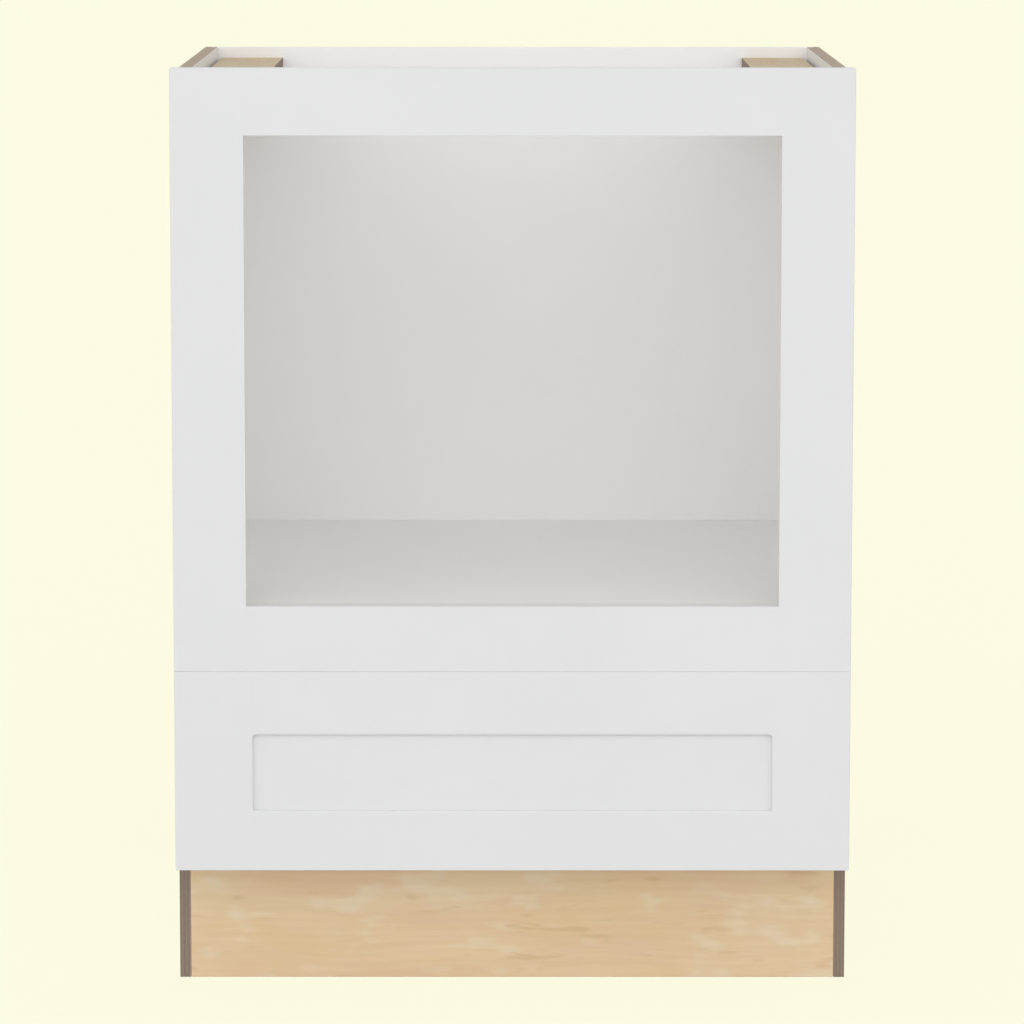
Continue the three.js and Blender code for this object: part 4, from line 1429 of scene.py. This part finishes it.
@dataclass
class BallBearingSlide(Assembly):
    """The slide at one side: three nested channels, and two ball cages between them."""

    side: str
    steel: float = 1.2
    ball_diameter: float = 3.4
    cage_steel: float = 0.6
    lip: float = 2.2
    inner_lip: float = 1.8
    balls_in_row: int = 9
    ball_margin: float = 14.0
    hole_spacing: float = 64.0
    hole_radius: float = 2.6
    slot_reach: float = 5.0  # from a slot's middle to the centres of its round ends
    hole_margin: float = 120.0  # length of the web without holes, both ends taken together
    slack: float = 0.01  # a lip is this much longer than its size, and its bends end before it
    cage_bend: float = 1.0
    cage_cover: float = 0.8  # how far a cage covers its balls, as a share of their radius

    def __post_init__(self) -> None:
        """Measures the slide's place in the cabinet."""
        sense = SIDES[self.side]
        low, high = span(f"slide_cabinet_channel_{self.side}")
        self.wall = high[0] if sense > 0 else low[0]  # the face against the side panel
        self.sense = -sense  # from the side panel towards the drawer
        self.centre = (low[2] + high[2]) / 2

    def build(self) -> None:
        """Builds the channels and the cages."""
        self._channel("cabinet", Body.CABINET, self.lip, open_outwards=False)
        self._channel("middle", f"{self.side}_middle_channel", self.lip, open_outwards=False)
        self._channel("drawer", Body.DRAWER, self.inner_lip, open_outwards=True)
        self._cage("outer")
        self._cage("inner")

    def _distances(self, node: str) -> list[float]:
        """The nearest and the farthest distance of a CAD node from the side panel."""
        return sorted((corner[0] - self.wall) * self.sense for corner in span(node))

    def _channel(self, which: str, body: Body | str, lip: float, open_outwards: bool) -> None:
        """A channel: a sheet strip bent to a C, carried along Y, with slots in its web.

        Args:
            which: The channel's name within the slide.
            body: The CAD body that it moves with.
            lip: How far each lip comes back, sheet thickness included.
            open_outwards: Whether its open side faces the side panel.
        """
        node = f"slide_{which}_channel_{self.side}"
        low, high = span(node)
        near, far = self._distances(node)
        half = (high[2] - low[2]) / 2
        web, mouth = (far, near) if open_outwards else (near, far)
        inset = self.steel / 2 * math.copysign(1.0, mouth - web)
        bend = lip - self.steel / 2
        top = half - self.steel / 2
        upper = [[mouth - inset, half - lip - self.slack], [mouth - inset, top], [web + inset, top]]
        blank = self._strip(node, upper, bend - 2 * self.slack, self.steel)
        count = int((high[1] - low[1] - self.hole_margin) // self.hole_spacing)
        start = (high[1] + low[1] - (count - 1) * self.hole_spacing) / 2
        middle = self.wall + self.sense * (web + inset)
        cutters = [
            self._slot(middle, start + i * self.hole_spacing, long=i % 2 == 0)
            for i in range(count)
        ]
        self._add(node, with_holes(blank, cutters, node), body)

    def _slot(self, x: float, y: float, long: bool) -> Surface:
        """A cutter for a round hole or for a long slot through a channel's web.

        Args:
            x: Depth of the web's middle.
            y: Where along the channel the hole is.
            long: Whether it is a slot.

        Returns:
            The cutter.
        """
        around, reach = 24, self.slot_reach if long else 0.0
        angle = np.linspace(0, FULL_TURN, around, endpoint=False)
        along = self.hole_radius * np.cos(angle) + reach * np.sign(np.cos(angle))
        rows = np.zeros((2, around, 3))
        rows[..., 1] = y + along
        rows[..., 2] = self.centre + self.hole_radius * np.sin(angle)
        rows[0, :, 0], rows[1, :, 0] = x - self.steel, x + self.steel
        return carried(rows)

    def _cage(self, which: str) -> None:
        """A ball cage: a thin bent strip with a row of balls held in each edge.

        Args:
            which: The cage's name within the slide.
        """
        node = f"slide_{which}_cage_{self.side}"
        low, high = span(node)
        near, far = self._distances(node)
        radius = self.ball_diameter / 2
        ball_height = (high[2] - low[2]) / 2 - radius
        ball_centre = far - radius
        edge = ball_centre + radius * self.cage_cover
        inset = self.cage_steel / 2
        upper = [[edge, ball_height], [near + inset, ball_height]]
        strip = self._strip(node, upper, self.cage_bend, self.cage_steel)
        margin = self.ball_margin
        places = np.linspace(low[1] + margin, high[1] - margin, self.balls_in_row)
        balls = [
            self._placed(ball(np.array([ball_centre, y, level]), radius))
            for y in places
            for level in (-ball_height, ball_height)
        ]
        mesh = Surface.joined([strip, *balls]).to_mesh(node)
        self._add(node, mesh, f"{self.side}_{which}_cage")

    def _strip(
        self, node: str, upper: list[list[float]], bend: float, thickness: float
    ) -> Surface:
        """A bent strip along a CAD node's length, the same above and below its middle.

        Args:
            node: The CAD node.
            upper: The corners of the upper half of its middle line, from its free edge.
            bend: The radius of its bends.
            thickness: The sheet's thickness.

        Returns:
            The surface, at its place in the cabinet.
        """
        corners = np.concatenate([upper, np.multiply(upper, [1, -1])[::-1]])
        low, high = span(node)
        outline = bent_strip(corners, bend, thickness)
        return self._placed(extruded_strip(outline, low[1], high[1]))

    def _add(self, node: str, mesh: Mesh, body: Body | str) -> None:
        """Adds a steel part in place of its CAD node."""
        round_shading(mesh, sharp_degrees=35)
        add_piece(node, mesh, [self.shop.zinc], body, Slot.SLIDE)

    def _placed(self, shape: Surface) -> Surface:
        """Moves a shape from the slide's own X and Z to the cabinet's frame.

        At the right-hand side X is mirrored, so the faces are turned over as well.

        Args:
            shape: The shape.

        Returns:
            The moved shape.
        """
        points = shape.points * [self.sense, 1, 1] + [self.wall, 0, self.centre]
        if self.sense > 0:
            return Surface(points, shape.quads, shape.caps)
        return Surface(points, shape.quads[:, ::-1], [cap[::-1] for cap in shape.caps])


# --- screws


@dataclass(frozen=True)
class ScrewKind:
    """The sizes of a pan-head screw, in millimetres."""

    head_height: float = 2.0
    head_radius: float = 4.0
    shank_radius: float = 1.9
    thread_depth: float = 0.45
    pitch: float = 1.6
    recess_reach: float = 2.3
    recess_half_width: float = 0.55
    seat_gap: float = 0.2
    rings_in_pitch: int = 5
    point: float = 0.08  # share of the radius that is left at the very point
    plain: float = 2.0  # length without a thread under the head; it fades in over the same again
    plain_fill: float = 0.6  # how far the plain part fills the thread's depth
    rim: float = 0.45  # height of the head's rim, as a share of the head's
    recess_depth: float = 0.62  # as a share of the head's height
    recess_rise: float = 0.45  # share of that depth that is lost towards its end
    recess_walls: tuple[float, float] = (0.18, 0.25)  # how wide its side and end walls are

    def surface(self, length: float) -> Surface:
        """The screw standing on its point, with the underside of its head at height 0.

        The shank's radius is its core plus the thread's depth times a triangle wave of
        (height / pitch - angle / full turn). The head's top is a dome less a cross-shaped
        recess, as a height over the (radius, angle) grid.

        Args:
            length: From under the head to the point.

        Returns:
            The surface.
        """
        around = 24
        angle = np.linspace(0, FULL_TURN, around, endpoint=False)[None, :]
        height = np.arange(-length, self.seat_gap, self.pitch / self.rings_in_pitch)[:, None]
        phase = (height / self.pitch - angle / FULL_TURN) % 1.0
        core = self.shank_radius - self.thread_depth
        taper = np.clip((height + length) / (2 * self.shank_radius), self.point, 1.0)
        cut = np.clip((-height - self.plain) / self.plain, 0.0, 1.0)
        wave = (1 - np.abs(2 * phase - 1)) * cut + (1 - cut) * self.plain_fill
        radius = (core + self.thread_depth * wave) * taper
        upright = np.repeat(height, around, 1)
        shank = np.stack([radius * np.cos(angle), radius * np.sin(angle), upright], -1)
        return Surface.joined([carried(shank), self._head()])

    def _head(self) -> Surface:
        """The head with its recess, closed underneath.

        The dome over the share s of the radius is the rim plus the rest times the root of
        (1 - s squared). Inside the cross, the recess's depth is taken off it.

        Returns:
            The surface.
        """
        around, nearly = 64, 0.98
        angle = np.linspace(0, FULL_TURN, around, endpoint=False)[None, :]
        rim, recess = np.linspace(1, 0.62, 8), np.linspace(0.58, 0.04, 14)  # rings of both parts
        share = np.concatenate([rim, recess])[:, None]
        radius = self.head_radius * share
        bulge = (1 - self.rim) * np.sqrt(1 - (share * nearly) ** 2)
        dome = self.head_height * (self.rim + bulge)
        x, y = radius * np.cos(angle), radius * np.sin(angle)
        arm = np.minimum(np.abs(x), np.abs(y))
        side, end = self.recess_walls
        inside = np.clip((self.recess_half_width - arm) / side + 0.5, 0, 1)
        inside = inside * np.clip((self.recess_reach - radius) / end + 0.5, 0, 1)
        rise = self.recess_rise * radius / self.recess_reach
        depth = self.head_height * self.recess_depth * (1 - rise)
        top = self.seat_gap + dome - inside * np.clip(depth, 0, None)
        rows = np.stack([x, y, top], -1)
        under = rows[:1] * [1, 1, 0] + [0, 0, self.seat_gap]
        return carried(np.concatenate([under, rows]))


@dataclass
class Fasteners(Assembly):
    """Every screw of the cabinet."""

    pan_head: ScrewKind = ScrewKind()
    low_head: ScrewKind = ScrewKind(head_height=0.8, recess_reach=2.1)

    def build(self) -> None:
        """Builds the screws of the frame, the drawer front and the slides."""
        for name, sense in SIDES.items():
            for node in ("top_rail_screw", "bottom_rail_screw"):
                self._screw(f"{node}_{name}", Body.CABINET, Axis.Y, -1, self.pan_head)
            for level in ("lower", "upper"):
                place = f"screw_{level}_{name}"
                self._screw(f"stile_{place}", Body.CABINET, Axis.Y, -1, self.pan_head)
                self._screw(f"drawer_front_{place}", Body.DRAWER, Axis.Y, -1, self.pan_head)
            for end in ("front", "rear"):
                place = f"slide_screw_{end}_{name}"
                self._screw(f"cabinet_{place}", Body.CABINET, Axis.X, sense, self.low_head)
                self._screw(f"drawer_{place}", Body.DRAWER, Axis.X, -sense, self.pan_head)

    def _screw(self, node: str, body: Body, axis: Axis, sense: int, kind: ScrewKind) -> None:
        """One screw, laid along an axis inside the box of its CAD node.

        Args:
            node: Its CAD node.
            body: The body that it moves with.
            axis: The direction that it points in.
            sense: 1 where its point looks along the axis, and -1 where it looks back.
            kind: Its sizes.
        """
        low, high = span(node)
        reach = high[axis.value] - low[axis.value]
        length = reach - kind.head_height - kind.seat_gap
        shape = kind.surface(length)
        seat = (low + high) / 2
        point = high if sense > 0 else low
        seat[axis.value] = point[axis.value] - sense * length
        up = np.zeros(3)
        up[axis.value] = -sense
        right = np.array([0.0, 0.0, 1.0])
        turn = np.stack([right, np.cross(up, right), up])
        mesh = shape.moved(lambda points: points @ turn + seat).to_mesh(node)
        round_shading(mesh, sharp_degrees=30)
        add_piece(node, mesh, [self.shop.yellow_zinc], body, Slot.SCREW)


# --- studio


@dataclass(frozen=True)
class Glow:
    """A soft patch of light in the dome.

    From a direction it adds its strength times the cosine of the angle to its middle,
    where that is above zero, to a power.
    """

    towards: Three
    power: float
    strength: float


@dataclass
class Studio:
    """The pale room: the camera, the floor and a dome with soft patches of light."""

    focal_pixels: float = 5170.8
    image_pixels: float = 1024.0
    sensor: float = 36.0
    camera_at: Three = (-2.0, -5102.4, 1107.2)
    pitch_down: float = 0.1337  # radians
    yaw: float = -0.00028
    roll: float = -0.00034
    backdrop: Colour = linear(251.5, 250.5, 225.2)
    floor_half: float = 60000.0
    floor_show: float = 0.12  # share of the floor's own shading that the camera sees
    floor_glow: float = 1.035
    floor_grey: float = 0.78
    dome: float = 0.637  # light from every side
    glows: tuple[Glow, ...] = (
        Glow((0.0, -1.0, 0.05), 5.0, 1.37),
        Glow((-0.8, -0.6, 0.1), 4.0, 0.54),
        Glow((0.8, -0.6, 0.1), 4.0, 0.40),
        Glow((0.0, 0.94, 0.34), 4.0, 0.24),
    )

    def build(self) -> None:
        """Builds the studio."""
        self._camera()
        self._world()
        self._floor()
        bpy.context.scene.view_settings.view_transform = "Standard"
        LOG.info("studio: camera, floor and dome")

    def _camera(self) -> None:
        """The camera, level from side to side and looking down a little."""
        lens = bpy.data.cameras.new("camera")
        lens.sensor_width = self.sensor
        lens.lens = self.focal_pixels / self.image_pixels * self.sensor
        lens.clip_start, lens.clip_end = 0.1, 400.0
        camera = bpy.data.objects.new("camera", lens)
        camera.location = [x * MM for x in self.camera_at]
        camera.rotation_euler = (math.pi / 2 - self.pitch_down, self.roll, self.yaw)
        bpy.context.scene.collection.objects.link(camera)
        bpy.context.scene.camera = camera

    def _world(self) -> None:
        """A white dome with its glows; the camera sees the backdrop instead."""
        world = bpy.data.worlds.new("studio_dome")
        bpy.context.scene.world = world
        world.use_nodes = True
        sheet = NodeSheet(world.node_tree)
        towards = sheet.add("TexCoord").outputs["Generated"]
        strength: Value = self.dome
        for glow in self.glows:
            middle = np.array(glow.towards) / np.linalg.norm(glow.towards)
            cosine = sheet.vector("DOT_PRODUCT", towards, middle.tolist())
            near = sheet.math("POWER", sheet.math("MAXIMUM", cosine, 0.0), glow.power)
            strength = sheet.math("ADD", strength, sheet.math("MULTIPLY", near, glow.strength))
        light = sheet.add("Background", {"Color": (1, 1, 1, 1), "Strength": strength})
        shown = sheet.add("Background", {"Color": (*self.backdrop, 1), "Strength": 1.0})
        ray = sheet.add("LightPath").outputs["Is Camera Ray"]
        mixed = sheet.add("MixShader", {0: ray, 1: light.outputs[0], 2: shown.outputs[0]})
        sheet.add("OutputWorld", {"Surface": mixed.outputs[0]})

    def _floor(self) -> None:
        """The floor: the backdrop's colour with a soft trace of shadow."""
        half = self.floor_half
        corners = np.array([[-half, -half], [half, -half], [half, half], [-half, half]])
        points = np.column_stack([corners, np.zeros(4)])
        mesh = Surface(points, np.array([[0, 1, 2, 3]])).to_mesh("studio_floor")
        floor = bpy.data.objects.new("studio_floor", mesh)
        bpy.context.scene.collection.objects.link(floor)
        material = bpy.data.materials.new("studio_floor")
        material.use_nodes = True
        sheet = NodeSheet(material.node_tree)
        grey = (self.floor_grey,) * 3
        shaded = sheet.add("BsdfDiffuse", {"Color": (*grey, 1)})
        tinted = sheet.add("BsdfDiffuse", {"Color": (*self.backdrop, 1)})
        glow = sheet.add("Emission", {"Color": (*self.backdrop, 1), "Strength": self.floor_glow})
        seen = sheet.add(
            "MixShader", {0: self.floor_show, 1: glow.outputs[0], 2: tinted.outputs[0]}
        )
        ray = sheet.add("LightPath").outputs["Is Camera Ray"]
        mixed = sheet.add("MixShader", {0: ray, 1: shaded.outputs[0], 2: seen.outputs[0]})
        sheet.add("OutputMaterial", {"Surface": mixed.outputs[0]})
        mesh.materials.append(material)


# --- main


def main() -> None:
    """Builds the studio and every part of the cabinet, in the order of its making."""
    logging.basicConfig(level=logging.INFO, format="%(name)s: %(message)s")
    Studio().build()
    shop = FinishShop()
    parts = [PlywoodBox(shop), InnerStrips(shop), FrontFrame(shop), DrawerFront(shop)]
    parts += [DrawerBox(shop), *(BallBearingSlide(shop, name) for name in SIDES)]
    parts.append(Fasteners(shop))
    for part in parts:
        part.build()
        LOG.info("built %s", type(part).__name__)


if __name__ == "__main__":
    main()
